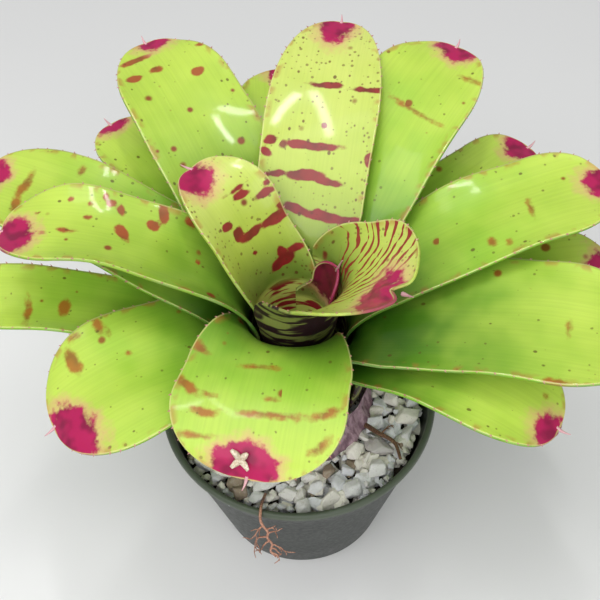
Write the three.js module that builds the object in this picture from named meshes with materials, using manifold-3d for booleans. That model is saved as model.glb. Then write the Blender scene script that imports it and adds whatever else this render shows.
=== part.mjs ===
// A bromeliad in its nursery pot: a rosette of strap leaves round a short stem, grown in a tapered plastic
// pot of potting mix topped with pale gravel. Millimetres, +Z up. The origin is the centre of the pot's
// underside. Azimuth 0 is +X, and azimuth 90 is +Y.
import * as THREE from "three";
import { mergeVertices } from "three/addons/utils/BufferGeometryUtils.js";
import Module from "manifold-3d";

const wasm = await Module();
wasm.setup();

// ---- Driving sizes ----------------------------------------------------------------------------------

const CLEARANCE = 0.4; // between pieces that touch

const POT = {
  rimRadius: 76, // outside of the lip
  baseRadius: 50,
  height: 110,
  wall: 1.8,
  floor: 2.4,
  lipHeight: 4.5,
  lipProud: 1.6, // how far the lip stands out from the wall
  segments: 56,
  drainHoles: 6,
  drainRadius: 5,
  drainCircle: 33,
  drainSegments: 16,
};

const MIX = { belowLip: 20 };
const GRAVEL = { belowLip: 9, bump: 1.3, rings: 7, segments: 44 };
const MIX_TOP = POT.height - MIX.belowLip;
const GRAVEL_TOP = POT.height - GRAVEL.belowLip;

const STEM = { radius: 8, depth: 10, segments: 20 };
const STEM_BOTTOM = MIX_TOP - STEM.depth;
const BULB_HEIGHT = 35; // from the gravel to where every sheath has turned upright
const BULB_CENTRE = GRAVEL_TOP + BULB_HEIGHT;

// Leaf blades: each leaf is one curved plate from its clasping sheath to the spine at its tip.
const LEAF = {
  sheathThickness: 0.8,
  bladeThickness: 1.8,
  marginThickness: 1,
  neckShare: 0.95, // blade width at the throat over its widest
  widestAt: 0.5, // share of the blade's length
  roundness: 2.2, // power of the curve that ends the blade; 2 is an ellipse
  bluntTip: 0.992, // how far round that curve the blade goes before its spine
  longestTip: 0.85, // rounded end over the blade's length, at most
  flattening: 0.35, // share of the channel that is gone at the tip
  droopPower: 1.5, // how late along the blade its bend comes
  spineLength: 10,
  spineHalfWidth: 0.9,
  spinePoint: 0.4,
  spineCurl: 50,
  throatLength: 42, // arc in which a sheath turns out into its blade
  longestThroat: 0.45, // that arc over the leaf's length, at most
  columns: 6,
  wideColumns: 8, // for sheaths that clasp more than wideWrap
  wideWrap: 70,
};

// Sheaths nest like cones from the heart outwards, one ring for each leaf. The wall is the heart's upright
// part, and each ring's is shorter by wallStep. The lean is outwards from upright, in degrees.
const RING = { stemGap: 1.2, gap: 0.8, lean: 9, wall: 54, wallStep: 2.4 };
const RING_STEP = LEAF.sheathThickness + RING.gap;
const SHEATH_START = STEM.radius + CLEARANCE;

// One row for each leaf, from the heart outwards: its name and azimuth, the half angle that its sheath
// clasps, its length from the top of the sheath to the tip, its half width at the widest, the blade's slope
// above the throat, its slope downwards at the tip, the half angle of the channel across it, the length of
// its rounded end over the half width, and how much taller its sheath stands than its ring's.
const LEAF_ROWS = [
  ["leaf_heart", 18, 70, 30, 13, 80, -75, 60, 1, -12],
  ["leaf_inner_left", 137, 85, 80, 24, 62, 18, 26, 1.9, 0],
  ["leaf_cup", -38, 104, 57, 38, 45, -14, 52, 1, 18],
  ["leaf_upright_back", 78, 50, 154, 29, 38, 10, 16, 2.4, 0],
  ["leaf_left_spotted", 172, 50, 141, 24, 30, 25, 28, 1.5, 3],
  ["leaf_front", -104, 64, 94, 40, 6, 62, 10, 0.9, 1],
  ["leaf_back_right", 54, 36, 157, 30, 36, 8, 10, 1.5, 3],
  ["leaf_right_upper", 13.5, 45, 156, 27, 25, 5, 14, 1.3, 1],
  ["leaf_back_left", 118.5, 55, 163, 30, 38, 8, 12, 1.6, 1],
  ["leaf_right", -17, 55, 158, 35, 20, 8, 13, 1.3, 1],
  ["leaf_left_upper", 157, 50, 165, 29, 25, 8, 14, 1.3, 0],
  ["leaf_front_left", -153, 50, 117, 37, 12, 42, 8, 1.15, 0],
  ["leaf_front_right", -32, 50, 126, 27, 18, 32, 20, 1.3, 0],
  ["leaf_back", 91, 50, 134, 26, 44, 5, 10, 1.3, 0],
  ["leaf_far_right", 35, 42, 144, 21, 25, 8, 14, 1.3, 0],
  ["leaf_far_left", 130, 42, 142, 21, 29, 8, 14, 1.3, 0],
  ["leaf_right_lower", 5, 45, 145, 27, 18, 8, 14, 1.3, 0],
  ["leaf_left_lower", 176.5, 40, 160, 20, 19, 10, 16, 1.3, 0],
];
const LEAVES = LEAF_ROWS.map(([name, azimuth, wrap, length, halfWidth, rise, droop, cup, tipShare, lift]) => {
  return { name, azimuth, wrap, length, halfWidth, rise, droop, cup, tipShare, lift };
});

// Trimmed bases of dead leaves, standing on the gravel round the foot of the rosette.
const OLD_SHEATHS = [
  { name: "old_sheath_front", azimuth: -28, wrap: 56, height: 34 },
  { name: "old_sheath_back", azimuth: 92, wrap: 54, height: 28 },
  { name: "old_sheath_left", azimuth: -148, wrap: 54, height: 31 },
];
const OLD_SHEATH = { footRadius: 30, gap: 2.2, thickness: 1.2, columns: 8, rows: 4, ragged: 3 };

// Loose roots: one lies on the gravel, and one hangs over the lip.
const ROOT = { thick: 1.2, thin: 0.8, sides: 6, stepsEach: 2 };

const COLOURS = {
  leaf: 0x9bc72f,
  oldSheath: 0x6b4a5a,
  pot: 0x39443c,
  mix: 0x2a2019,
  gravel: 0xb9b4a8,
  root: 0x9a6a48,
  stem: 0x7c8a4a,
};

// ---- Helpers ----------------------------------------------------------------------------------------

const rad = THREE.MathUtils.degToRad;
const smooth = (x) => THREE.MathUtils.smoothstep(x, 0, 1);
const mix = THREE.MathUtils.lerp;
const radial = (azimuth) => new THREE.Vector3(Math.cos(azimuth), Math.sin(azimuth), 0);

const root = new THREE.Group();

function addPart(name, geometry, colour, roughness = 0.6) {
  const material = new THREE.MeshStandardMaterial({ color: colour, roughness, metalness: 0 });
  const part = new THREE.Mesh(geometry, material);
  part.name = name;
  root.add(part);
  return part;
}

// Turns a lathe profile of [radius, height] pairs about +Z.
function turned(profile, segments) {
  const points = profile.map(([r, z]) => new THREE.Vector2(r, z));
  return new THREE.LatheGeometry(points, segments).rotateX(Math.PI / 2);
}

// Closes a grid of paired upper and lower points into one shell.
function plateGeometry(upper, lower) {
  const rows = upper.length;
  const columns = upper[0].length;
  const positions = [...upper, ...lower].flat().flatMap((p) => p.toArray());
  const top = (i, j) => i * columns + j;
  const bottom = (i, j) => (rows + i) * columns + j;
  const index = [];
  const quad = (a, b, c, d) => index.push(a, b, c, a, c, d);
  for (let i = 0; i < rows - 1; i++) {
    for (let j = 0; j < columns - 1; j++) {
      quad(top(i, j), top(i + 1, j), top(i + 1, j + 1), top(i, j + 1));
      quad(bottom(i, j), bottom(i, j + 1), bottom(i + 1, j + 1), bottom(i + 1, j));
    }
    quad(top(i, 0), bottom(i, 0), bottom(i + 1, 0), top(i + 1, 0));
    const last = columns - 1;
    quad(top(i, last), top(i + 1, last), bottom(i + 1, last), bottom(i, last));
  }
  for (let j = 0; j < columns - 1; j++) {
    quad(top(0, j), top(0, j + 1), bottom(0, j + 1), bottom(0, j));
    const end = rows - 1;
    quad(top(end, j), bottom(end, j), bottom(end, j + 1), top(end, j + 1));
  }
  const geometry = new THREE.BufferGeometry();
  geometry.setAttribute("position", new THREE.Float32BufferAttribute(positions, 3));
  return geometry.setIndex(index);
}

// Thickens a grid of surface points along its own normals. thickness(i, j) is the full thickness there.
function thickened(grid, thickness) {
  const rows = grid.length;
  const columns = grid[0].length;
  const at = (i, j) => grid[THREE.MathUtils.clamp(i, 0, rows - 1)][THREE.MathUtils.clamp(j, 0, columns - 1)];
  const offset = (sign) =>
    grid.map((row, i) =>
      row.map((point, j) => {
        const along = at(i + 1, j).clone().sub(at(i - 1, j));
        const across = at(i, j + 1).clone().sub(at(i, j - 1));
        const normal = along.cross(across).normalize();
        return point.clone().addScaledVector(normal, (sign * thickness(i, j)) / 2);
      }),
    );
  return plateGeometry(offset(1), offset(-1));
}

// Closes a ring of paired upper and lower rows, whose first and last rows coincide.
function ringGeometry(upper, lower) {
  const columns = upper[0].length;
  const positions = [...upper, ...lower].flat().flatMap((p) => p.toArray());
  const rows = upper.length;
  const top = (i, j) => (i % (rows - 1)) * columns + j;
  const bottom = (i, j) => (rows + (i % (rows - 1))) * columns + j;
  const index = [];
  const quad = (a, b, c, d) => index.push(a, b, c, a, c, d);
  for (let i = 0; i < rows - 1; i++) {
    for (let j = 0; j < columns - 1; j++) {
      quad(top(i, j), top(i, j + 1), top(i + 1, j + 1), top(i + 1, j));
      quad(bottom(i, j), bottom(i + 1, j), bottom(i + 1, j + 1), bottom(i, j + 1));
    }
    quad(top(i, 0), top(i + 1, 0), bottom(i + 1, 0), bottom(i, 0));
    const last = columns - 1;
    quad(top(i, last), bottom(i, last), bottom(i + 1, last), top(i + 1, last));
  }
  const geometry = new THREE.BufferGeometry();
  geometry.setAttribute("position", new THREE.Float32BufferAttribute(positions, 3));
  return geometry.setIndex(index);
}

function manifoldOf(geometry) {
  const bare = geometry.clone();
  bare.deleteAttribute("normal");
  bare.deleteAttribute("uv");
  const closed = mergeVertices(bare, 1e-4);
  return new wasm.Manifold(
    new wasm.Mesh({
      numProp: 3,
      vertProperties: closed.attributes.position.array,
      triVerts: new Uint32Array(closed.index.array),
    }),
  );
}

function geometryOf(solid) {
  const mesh = solid.getMesh();
  const geometry = new THREE.BufferGeometry();
  geometry.setAttribute("position", new THREE.Float32BufferAttribute(mesh.vertProperties, 3));
  return geometry.setIndex([...mesh.triVerts]);
}

// ---- Leaves -----------------------------------------------------------------------------------------

const BULB_STEPS = 3;
const WALL_STEPS = 1;
const THROAT_STEPS = 4;
const BLADE_STEPS = 5;
const TIP_STEPS = 4;
const SPINE_STEPS = 2;

// Radius of the arc in which a ring's sheaths turn upright from the stem.
const bulbOf = (rank) => RING.stemGap + RING_STEP * rank;

// Slope, width and channel of a leaf, at stations from the stem to the end of its spine. Each station has
// the arc length to it, the slope of the leaf above the horizontal, the half width and the half angle of
// the section. The clasping stations turn about the stem's axis.
function stationsOf(leaf, rank) {
  const wrap = rad(leaf.wrap);
  const wall = rad(90 - RING.lean);
  const bulb = bulbOf(rank);
  const bulbLength = bulb * wall;
  const wallLength = (RING.wall - RING.wallStep * rank + leaf.lift) / Math.sin(wall);
  const throat = Math.min(LEAF.throatLength, leaf.length * LEAF.longestThroat);
  const blade = leaf.length - throat;
  const tip = Math.min(leaf.halfWidth * leaf.tipShare, blade * LEAF.longestTip);
  const stations = [];
  for (let i = 0; i <= BULB_STEPS; i++) {
    const share = i / BULB_STEPS;
    stations.push({ s: bulbLength * share, slope: wall * share, clasp: true, turn: wrap });
  }
  for (let i = 1; i <= WALL_STEPS; i++) {
    stations.push({ s: bulbLength + (wallLength * i) / WALL_STEPS, slope: wall, clasp: true, turn: wrap });
  }
  const from = bulbLength + wallLength;
  const topRadius = SHEATH_START + bulb * Math.sin(wall) + wallLength * Math.cos(wall);
  const wallWidth = topRadius * wrap;
  const width = (share) => {
    const swell = mix(LEAF.neckShare, 1, smooth(share / LEAF.widestAt));
    const end = Math.max(0, (share * blade - (blade - tip)) / tip);
    return leaf.halfWidth * swell * Math.sqrt(Math.max(0, 1 - end ** LEAF.roundness));
  };
  const bladeShares = [];
  for (let i = 0; i <= BLADE_STEPS; i++) bladeShares.push(((i / BLADE_STEPS) * (blade - tip)) / blade);
  for (let i = 1; i <= TIP_STEPS; i++) {
    const share = Math.sin(((i / TIP_STEPS) * Math.PI) / 2) * LEAF.bluntTip;
    bladeShares.push((blade - tip + tip * share) / blade);
  }
  for (let i = 1; i < THROAT_STEPS; i++) {
    const share = i / THROAT_STEPS;
    stations.push({
      s: from + throat * share,
      slope: mix(wall, rad(leaf.rise), smooth(share)),
      half: mix(wallWidth, width(0), smooth(share)),
      turn: mix(wrap, rad(leaf.cup), smooth(share)),
    });
  }
  for (const share of bladeShares) {
    stations.push({
      s: from + throat + blade * share,
      slope: mix(rad(leaf.rise), rad(-leaf.droop), share ** LEAF.droopPower),
      half: width(share),
      turn: rad(leaf.cup) * (1 - LEAF.flattening * share),
      share,
    });
  }
  for (let i = 1; i <= SPINE_STEPS; i++) {
    const share = i / SPINE_STEPS;
    stations.push({
      s: from + leaf.length + LEAF.spineLength * share,
      slope: rad(LEAF.spineCurl * share - leaf.droop),
      half: mix(LEAF.spineHalfWidth, LEAF.spinePoint, share),
      turn: 0,
      share: 1,
      spine: true,
    });
  }
  return stations;
}

// The leaf's middle surface as rows of points, from its foot on the stem to the end of its spine.
function leafGrid(leaf, rank) {
  const stations = stationsOf(leaf, rank);
  const columns = leaf.wrap > LEAF.wideWrap ? LEAF.wideColumns : LEAF.columns;
  const azimuth = rad(leaf.azimuth);
  const point = radial(azimuth)
    .multiplyScalar(SHEATH_START)
    .setZ(BULB_CENTRE - bulbOf(rank));
  let before = stations[0];
  return stations.map((station) => {
    const length = station.s - before.s;
    const slope = (station.slope + before.slope) / 2;
    const bend = (station.slope - before.slope) / 2;
    const chord = length * (Math.abs(bend) > 1e-6 ? Math.sin(bend) / bend : 1);
    point.addScaledVector(radial(azimuth), chord * Math.cos(slope));
    point.z += chord * Math.sin(slope);
    before = station;
    const out = radial(azimuth);
    const side = new THREE.Vector3(-out.y, out.x, 0);
    const tangent = out.clone().multiplyScalar(Math.cos(station.slope)).setZ(Math.sin(station.slope));
    const inward = station.clasp ? out.clone().negate() : side.clone().cross(tangent).negate();
    const turn = Math.max(station.turn, 0.02);
    const half = station.clasp ? Math.hypot(point.x, point.y) * turn : station.half;
    const bow = half / turn;
    const row = [];
    for (let j = 0; j <= columns; j++) {
      const angle = ((2 * j) / columns - 1) * turn;
      row.push(
        point
          .clone()
          .addScaledVector(side, bow * Math.sin(angle))
          .addScaledVector(inward, bow * (1 - Math.cos(angle))),
      );
    }
    row.station = station;
    return row;
  });
}

function leafGeometry(leaf, rank) {
  const grid = leafGrid(leaf, rank);
  const columns = grid[0].length - 1;
  return thickened(grid, (i, j) => {
    const { clasp, spine } = grid[i].station;
    if (clasp) return LEAF.sheathThickness;
    if (spine) return LEAF.spineHalfWidth;
    const edge = Math.abs((2 * j) / columns - 1);
    return mix(LEAF.bladeThickness, LEAF.marginThickness, edge ** 2);
  });
}

LEAVES.forEach((leaf, rank) => addPart(leaf.name, leafGeometry(leaf, rank), COLOURS.leaf, 0.35));

// ---- Stem, old sheaths ------------------------------------------------------------------------------

const outerBulb = bulbOf(LEAVES.length - 1);

function addStem() {
  const top = BULB_CENTRE - LEAF.sheathThickness;
  const crown = STEM.radius * 0.6;
  const profile = [
    [0, STEM_BOTTOM],
    [STEM.radius * 0.8, STEM_BOTTOM],
    [STEM.radius, STEM_BOTTOM + 3],
    [STEM.radius - CLEARANCE, top],
    [crown, top + 3],
    [0, top + 4],
  ];
  addPart("stem", turned(profile, STEM.segments), COLOURS.stem, 0.8);
}

// The middle surface of an old sheath: a sector of a cone that follows the outermost bulb from outside.
function oldSheathGrid({ azimuth, wrap, height }) {
  const grid = [];
  const foot = GRAVEL_TOP + GRAVEL.bump + CLEARANCE;
  for (let i = 0; i <= OLD_SHEATH.rows; i++) {
    const share = i / OLD_SHEATH.rows;
    const row = [];
    for (let j = 0; j <= OLD_SHEATH.columns; j++) {
      const across = (2 * j) / OLD_SHEATH.columns - 1;
      const ragged = OLD_SHEATH.ragged * Math.cos(across * 9) * share;
      const z = foot + height * share + ragged;
      const rise = THREE.MathUtils.clamp((z - BULB_CENTRE) / outerBulb, -1, 0);
      const bulge = SHEATH_START + outerBulb * Math.sqrt(1 - rise ** 2);
      const lean = Math.max(0, z - BULB_CENTRE) * Math.tan(rad(RING.lean));
      const radius = Math.max(OLD_SHEATH.footRadius, bulge + lean) + OLD_SHEATH.gap;
      row.push(radial(rad(azimuth + wrap * across)).multiplyScalar(radius).setZ(z));
    }
    grid.push(row);
  }
  return grid;
}

function addOldSheaths() {
  for (const sheath of OLD_SHEATHS) {
    const geometry = thickened(oldSheathGrid(sheath), () => OLD_SHEATH.thickness);
    addPart(sheath.name, geometry, COLOURS.oldSheath, 0.8);
  }
}

// ---- Pot, mix and gravel ----------------------------------------------------------------------------

// Outside radius of the pot's wall at a height; the inside is one wall less.
const wallTop = POT.rimRadius - POT.lipProud;
const outsideAt = (z) => mix(POT.baseRadius, wallTop, z / POT.height);
const insideAt = (z) => outsideAt(z) - POT.wall;

function addPot() {
  const { height, floor, lipHeight, rimRadius } = POT;
  const lipRound = 1;
  const profile = [
    [0, 0],
    [POT.baseRadius - 2, 0],
    [POT.baseRadius, 1.5],
    [outsideAt(height - lipHeight), height - lipHeight],
    [rimRadius, height - lipHeight + lipRound],
    [rimRadius, height - 2 * lipRound],
    [rimRadius - lipRound, height],
    [insideAt(height) + 0.4, height],
    [insideAt(height - 1.5), height - 1.5],
    [insideAt(floor + 3), floor + 3],
    [insideAt(floor) - 3, floor],
    [0, floor],
  ];
  let shell = manifoldOf(turned(profile, POT.segments));
  for (let i = 0; i < POT.drainHoles; i++) {
    const at = radial((i / POT.drainHoles) * 2 * Math.PI).multiplyScalar(POT.drainCircle);
    const drill = new THREE.CylinderGeometry(POT.drainRadius, POT.drainRadius, floor * 3, POT.drainSegments)
      .rotateX(Math.PI / 2)
      .translate(at.x, at.y, floor / 2);
    shell = shell.subtract(manifoldOf(drill));
  }
  addPart("pot", geometryOf(shell), COLOURS.pot, 0.55);
}

function addMix() {
  const bottom = POT.floor + CLEARANCE;
  const hole = STEM.radius + CLEARANCE;
  const top = MIX_TOP - CLEARANCE;
  const profile = [
    [0, bottom],
    [insideAt(bottom) - 3 - CLEARANCE, bottom],
    [insideAt(bottom + 3.5) - CLEARANCE, bottom + 3.5],
    [insideAt(top) - CLEARANCE, top],
    [hole, top],
    [hole, STEM_BOTTOM - CLEARANCE],
    [0, STEM_BOTTOM - CLEARANCE],
  ];
  addPart("potting_mix", turned(profile, GRAVEL.segments), COLOURS.mix, 0.95);
}

// The gravel is one layer with a lumpy top and a hole in the middle for the stem.
function addGravelBed() {
  const hole = STEM.radius + CLEARANCE;
  const edge = insideAt(GRAVEL_TOP) - 2 * CLEARANCE;
  const lump = (radius, turn) => {
    const swell = Math.sin(turn * 9 + radius * 0.31) * Math.cos(turn * 5 - radius * 0.23);
    return GRAVEL.bump * swell * Math.sin(((radius - hole) / (edge - hole)) * Math.PI);
  };
  const upper = [];
  const lower = [];
  for (let i = 0; i <= GRAVEL.segments; i++) {
    const turn = (i / GRAVEL.segments) * 2 * Math.PI;
    const top = [];
    const bottom = [];
    for (let k = 0; k <= GRAVEL.rings; k++) {
      const radius = mix(hole, edge, k / GRAVEL.rings);
      const under = mix(hole, insideAt(MIX_TOP) - 2 * CLEARANCE, k / GRAVEL.rings);
      top.push(radial(turn).multiplyScalar(radius).setZ(GRAVEL_TOP + lump(radius, turn)));
      bottom.push(radial(turn).multiplyScalar(under).setZ(MIX_TOP));
    }
    upper.push(top);
    lower.push(bottom);
  }
  addPart("gravel_bed", ringGeometry(upper, lower), COLOURS.gravel, 0.95);
}

// ---- Roots ------------------------------------------------------------------------------------------

// Points given as [azimuth, radius, height] become places.
const placed = (points) =>
  points.map(([azimuth, radius, z]) => radial(rad(azimuth)).multiplyScalar(radius).setZ(z));

function strand(points, radius) {
  const section = new THREE.Shape();
  section.absarc(0, 0, radius, 0, 2 * Math.PI);
  return manifoldOf(
    new THREE.ExtrudeGeometry(section, {
      steps: (points.length - 1) * ROOT.stepsEach,
      curveSegments: ROOT.sides / 2,
      extrudePath: new THREE.CatmullRomCurve3(points),
      bevelEnabled: false,
    }),
  );
}

function addRoots() {
  const onGravel = GRAVEL_TOP + GRAVEL.bump + ROOT.thick + CLEARANCE;
  const overLip = POT.height + ROOT.thick + CLEARANCE;
  const outside = POT.rimRadius + ROOT.thick + CLEARANCE;
  const hanging = placed([
    [-108, outside - 16, onGravel],
    [-107, outside - 8, overLip - 1],
    [-106.5, outside - 3.5, overLip + 0.8],
    [-106, outside + 0.3, overLip - 3],
    [-104.5, outside + 0.6, overLip - 14],
    [-103, outside + 0.8, overLip - 28],
    [-101.5, outside + 0.5, overLip - 45],
  ]);
  const twigs = [
    [hanging[4], ...placed([[-101.5, outside + 1.5, overLip - 20], [-99, outside + 2, overLip - 22]])],
    [hanging[5], ...placed([[-106, outside + 1.5, overLip - 35], [-108, outside + 2.5, overLip - 39]])],
  ];
  const trunk = strand(hanging, ROOT.thick);
  const whole = twigs.reduce((grown, twig) => grown.add(strand(twig, ROOT.thin)), trunk);
  addPart("root_hanging", geometryOf(whole), COLOURS.root, 0.85);
  const lying = placed([
    [-27, outside - 37, onGravel],
    [-30, outside - 28, onGravel + 1.2],
    [-31, outside - 18, onGravel + 0.6],
    [-37, outside - 10.5, onGravel],
  ]);
  addPart("root_on_gravel", geometryOf(strand(lying, ROOT.thick)), COLOURS.root, 0.85);
}

addStem();
addOldSheaths();
addPot();
addMix();
addGravelBed();
addRoots();

export default root;
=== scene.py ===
"""A bromeliad in its nursery pot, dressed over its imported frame.

Metres, +Z up, with the origin at the centre of the pot's underside. The rosette, the pot, the gravel and the
loose roots are each a class that holds its own sizes, builds its meshes and gives them their finishes.
"""

import logging
import math
import random
from dataclasses import dataclass, field, fields, replace
from enum import Enum
from typing import Optional, Sequence

import bmesh
import bpy
from bpy.types import Material, Node, NodeSocket, Object
from mathutils import Matrix, Vector, noise


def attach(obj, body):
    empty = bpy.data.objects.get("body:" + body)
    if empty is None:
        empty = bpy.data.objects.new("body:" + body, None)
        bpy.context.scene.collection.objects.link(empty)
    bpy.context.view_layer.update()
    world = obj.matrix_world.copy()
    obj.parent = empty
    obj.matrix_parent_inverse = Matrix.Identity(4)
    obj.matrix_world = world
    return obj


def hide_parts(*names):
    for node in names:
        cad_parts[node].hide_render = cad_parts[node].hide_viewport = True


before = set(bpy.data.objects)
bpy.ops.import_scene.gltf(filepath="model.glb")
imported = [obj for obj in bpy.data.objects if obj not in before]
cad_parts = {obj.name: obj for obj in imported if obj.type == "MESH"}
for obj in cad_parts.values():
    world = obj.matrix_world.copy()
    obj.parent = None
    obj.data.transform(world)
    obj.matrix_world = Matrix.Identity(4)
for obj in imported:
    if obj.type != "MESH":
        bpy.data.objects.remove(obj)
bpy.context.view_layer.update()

logging.basicConfig(level=logging.INFO, format="%(message)s")
log = logging.getLogger("bromeliad")

Colour = tuple[float, float, float]
MM = 0.001
BODY = "root"


# ---- Arithmetic --------------------------------------------------------------------------------------


def smooth(x: float) -> float:
    """Eases from 0 to 1 as x goes from 0 to 1."""
    x = min(1.0, max(0.0, x))
    return x * x * (3.0 - 2.0 * x)


def mix(a: float, b: float, share: float) -> float:
    """Goes from a to b as share goes from 0 to 1."""
    return a + (b - a) * share


def radial(azimuth: float) -> Vector:
    """Gives the level unit vector at an azimuth in radians."""
    return Vector((math.cos(azimuth), math.sin(azimuth), 0.0))


# ---- Node materials ----------------------------------------------------------------------------------


class Graph:
    """A node material being built, with short methods for the nodes that the finishes use."""

    def __init__(self, name: str) -> None:
        """Starts a material with one principled surface.

        Args:
            name: The material's name.
        """
        self.material: Material = bpy.data.materials.new(name)
        self.material.use_nodes = True
        self.tree = self.material.node_tree
        self.surface: Node = self.tree.nodes["Principled BSDF"]

    def node(self, kind: str, **settings: object) -> Node:
        """Adds a node.

        Args:
            kind: The node's type, without the ShaderNode at its front.
            settings: Its properties.

        Returns:
            The node.
        """
        made = self.tree.nodes.new("ShaderNode" + kind)
        for key, value in settings.items():
            setattr(made, key, value)
        return made

    def feed(self, socket: NodeSocket, value: object) -> None:
        """Links a socket to another one, or sets its value.

        Args:
            socket: The input.
            value: An output socket, a number, a colour or a vector.
        """
        if isinstance(value, NodeSocket):
            self.tree.links.new(value, socket)
        elif isinstance(value, tuple) and len(value) == 3 and socket.type == "RGBA":
            socket.default_value = (*value, 1.0)
        else:
            socket.default_value = value

    def math(self, operation: str, *values: object, clamp: bool = False) -> NodeSocket:
        """Adds a sum on numbers.

        Args:
            operation: The math node's operation.
            values: Its inputs.
            clamp: Whether the result is kept between 0 and 1.

        Returns:
            The result.
        """
        made = self.node("Math", operation=operation, use_clamp=clamp)
        for socket, value in zip(made.inputs, values):
            self.feed(socket, value)
        return made.outputs[0]

    def span(
        self, value: NodeSocket, low: float, high: float, to: tuple[float, float] = (0.0, 1.0)
    ) -> NodeSocket:
        """Eases a number from one range to another.

        Args:
            value: The number.
            low: Where the result is the first of to.
            high: Where the result is the second of to.
            to: The results at the two ends.

        Returns:
            The eased number.
        """
        made = self.node("MapRange", interpolation_type="SMOOTHSTEP")
        for socket, given in zip(made.inputs, (value, low, high, *to)):
            self.feed(socket, given)
        return made.outputs[0]

    def blend(self, share: object, first: object, second: object, kind: str = "MIX") -> NodeSocket:
        """Mixes two colours.

        Args:
            share: How much of the second shows.
            first: The colour underneath.
            second: The colour on top.
            kind: The blend type.

        Returns:
            The colour.
        """
        made = self.node("Mix", data_type="RGBA", blend_type=kind)
        self.feed(made.inputs[0], share)
        self.feed(made.inputs[6], first)
        self.feed(made.inputs[7], second)
        return made.outputs[2]

    def attribute(self, name: str) -> Node:
        """Reads one of the piece's own attributes."""
        return self.node("Attribute", attribute_name=name)

    def stretched(self, vector: NodeSocket, scale: Sequence[float], shift: float = 0.0) -> NodeSocket:
        """Scales a vector on each axis.

        Args:
            vector: The vector.
            scale: The factor on each axis.
            shift: What is then added on every axis, to tell patterns apart.

        Returns:
            The vector.
        """
        made = self.node("VectorMath", operation="MULTIPLY_ADD")
        self.feed(made.inputs[0], vector)
        made.inputs[1].default_value = scale
        made.inputs[2].default_value = (shift, shift, shift)
        return made.outputs[0]

    def noise(self, vector: NodeSocket, scale: float, detail: float = 3.0, rough: float = 0.55) -> NodeSocket:
        """Adds a cloudy noise between 0 and 1.

        Args:
            vector: Where the noise is read.
            scale: How fine it is.
            detail: How many finer layers it has.
            rough: How strong they are.

        Returns:
            The noise.
        """
        made = self.node("TexNoise")
        self.feed(made.inputs["Vector"], vector)
        made.inputs["Scale"].default_value = scale
        made.inputs["Detail"].default_value = detail
        made.inputs["Roughness"].default_value = rough
        return made.outputs[0]

    def spots(self, vector: NodeSocket, scale: float, radius: float, share: object) -> NodeSocket:
        """Scatters round spots of mixed sizes.

        Args:
            vector: Where the pattern is read.
            scale: How many cells there are to a unit.
            radius: The largest spot's radius, over a cell's width.
            share: The share of cells that have a spot.

        Returns:
            A mask, 1 inside a spot.
        """
        cells = self.node("TexVoronoi", feature="F1")
        self.feed(cells.inputs["Vector"], vector)
        cells.inputs["Scale"].default_value = scale
        parts = self.node("SeparateColor")
        self.feed(parts.inputs[0], cells.outputs["Color"])
        size = self.math("MULTIPLY", parts.outputs[1], radius)
        inside = self.math("SUBTRACT", size, cells.outputs["Distance"])
        soft = self.math("DIVIDE", inside, radius * 0.35, clamp=True)
        chosen = self.math("LESS_THAN", parts.outputs[0], share)
        return self.math("MULTIPLY", soft, chosen)

    def relief(
        self, height: NodeSocket, strength: float, depth: float, over: Optional[NodeSocket] = None
    ) -> NodeSocket:
        """Turns a height into a bumped normal.

        Args:
            height: The height, between 0 and 1.
            strength: How much of the relief shows.
            depth: The relief's real depth in metres.
            over: A normal that is already bumped.

        Returns:
            The normal.
        """
        made = self.node("Bump")
        made.inputs["Strength"].default_value = strength
        made.inputs["Distance"].default_value = depth
        self.feed(made.inputs["Height"], height)
        if over is not None:
            self.feed(made.inputs["Normal"], over)
        return made.outputs[0]

    def finish(
        self, colour: object, roughness: object, normal: Optional[NodeSocket] = None, **fixed: object
    ) -> Material:
        """Feeds the surface and gives the material.

        Args:
            colour: The base colour.
            roughness: The roughness.
            normal: The bumped normal.
            fixed: Other inputs of the surface, by name with underscores for blanks.

        Returns:
            The finished material.
        """
        self.feed(self.surface.inputs["Base Color"], colour)
        self.feed(self.surface.inputs["Roughness"], roughness)
        if normal is not None:
            self.feed(self.surface.inputs["Normal"], normal)
        for name, value in fixed.items():
            self.feed(self.surface.inputs[name.replace("_", " ")], value)
        return self.material


# ---- Marks on the leaves -----------------------------------------------------------------------------

@dataclass(frozen=True)
class Mark:
    """A crimson band or blotch on a leaf, as an ellipse in the blade's own plane, in millimetres.

    Attributes:
        across: Its centre to the left of the blade's middle.
        from_tip: Its centre's distance from the tip.
        reach: Half its length across the blade.
        thick: Half its thickness along the blade.
        tilt: Its turn, in degrees.
    """

    across: float
    from_tip: float
    reach: float
    thick: float
    tilt: float = 0.0

    def outside(self, across: float, from_tip: float) -> float:
        """Gives how far a point of the blade is outside the mark.

        Args:
            across: The point's distance to the left of the blade's middle, in metres.
            from_tip: Its distance from the tip, in metres.

        Returns:
            The distance in metres, below 0 inside the mark.
        """
        a = across / MM - self.across
        b = from_tip / MM - self.from_tip
        turn = math.radians(self.tilt)
        along = a * math.cos(turn) + b * math.sin(turn)
        over = b * math.cos(turn) - a * math.sin(turn)
        return (math.hypot(along / self.reach, over / self.thick) - 1.0) * min(self.reach, self.thick) * MM


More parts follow.
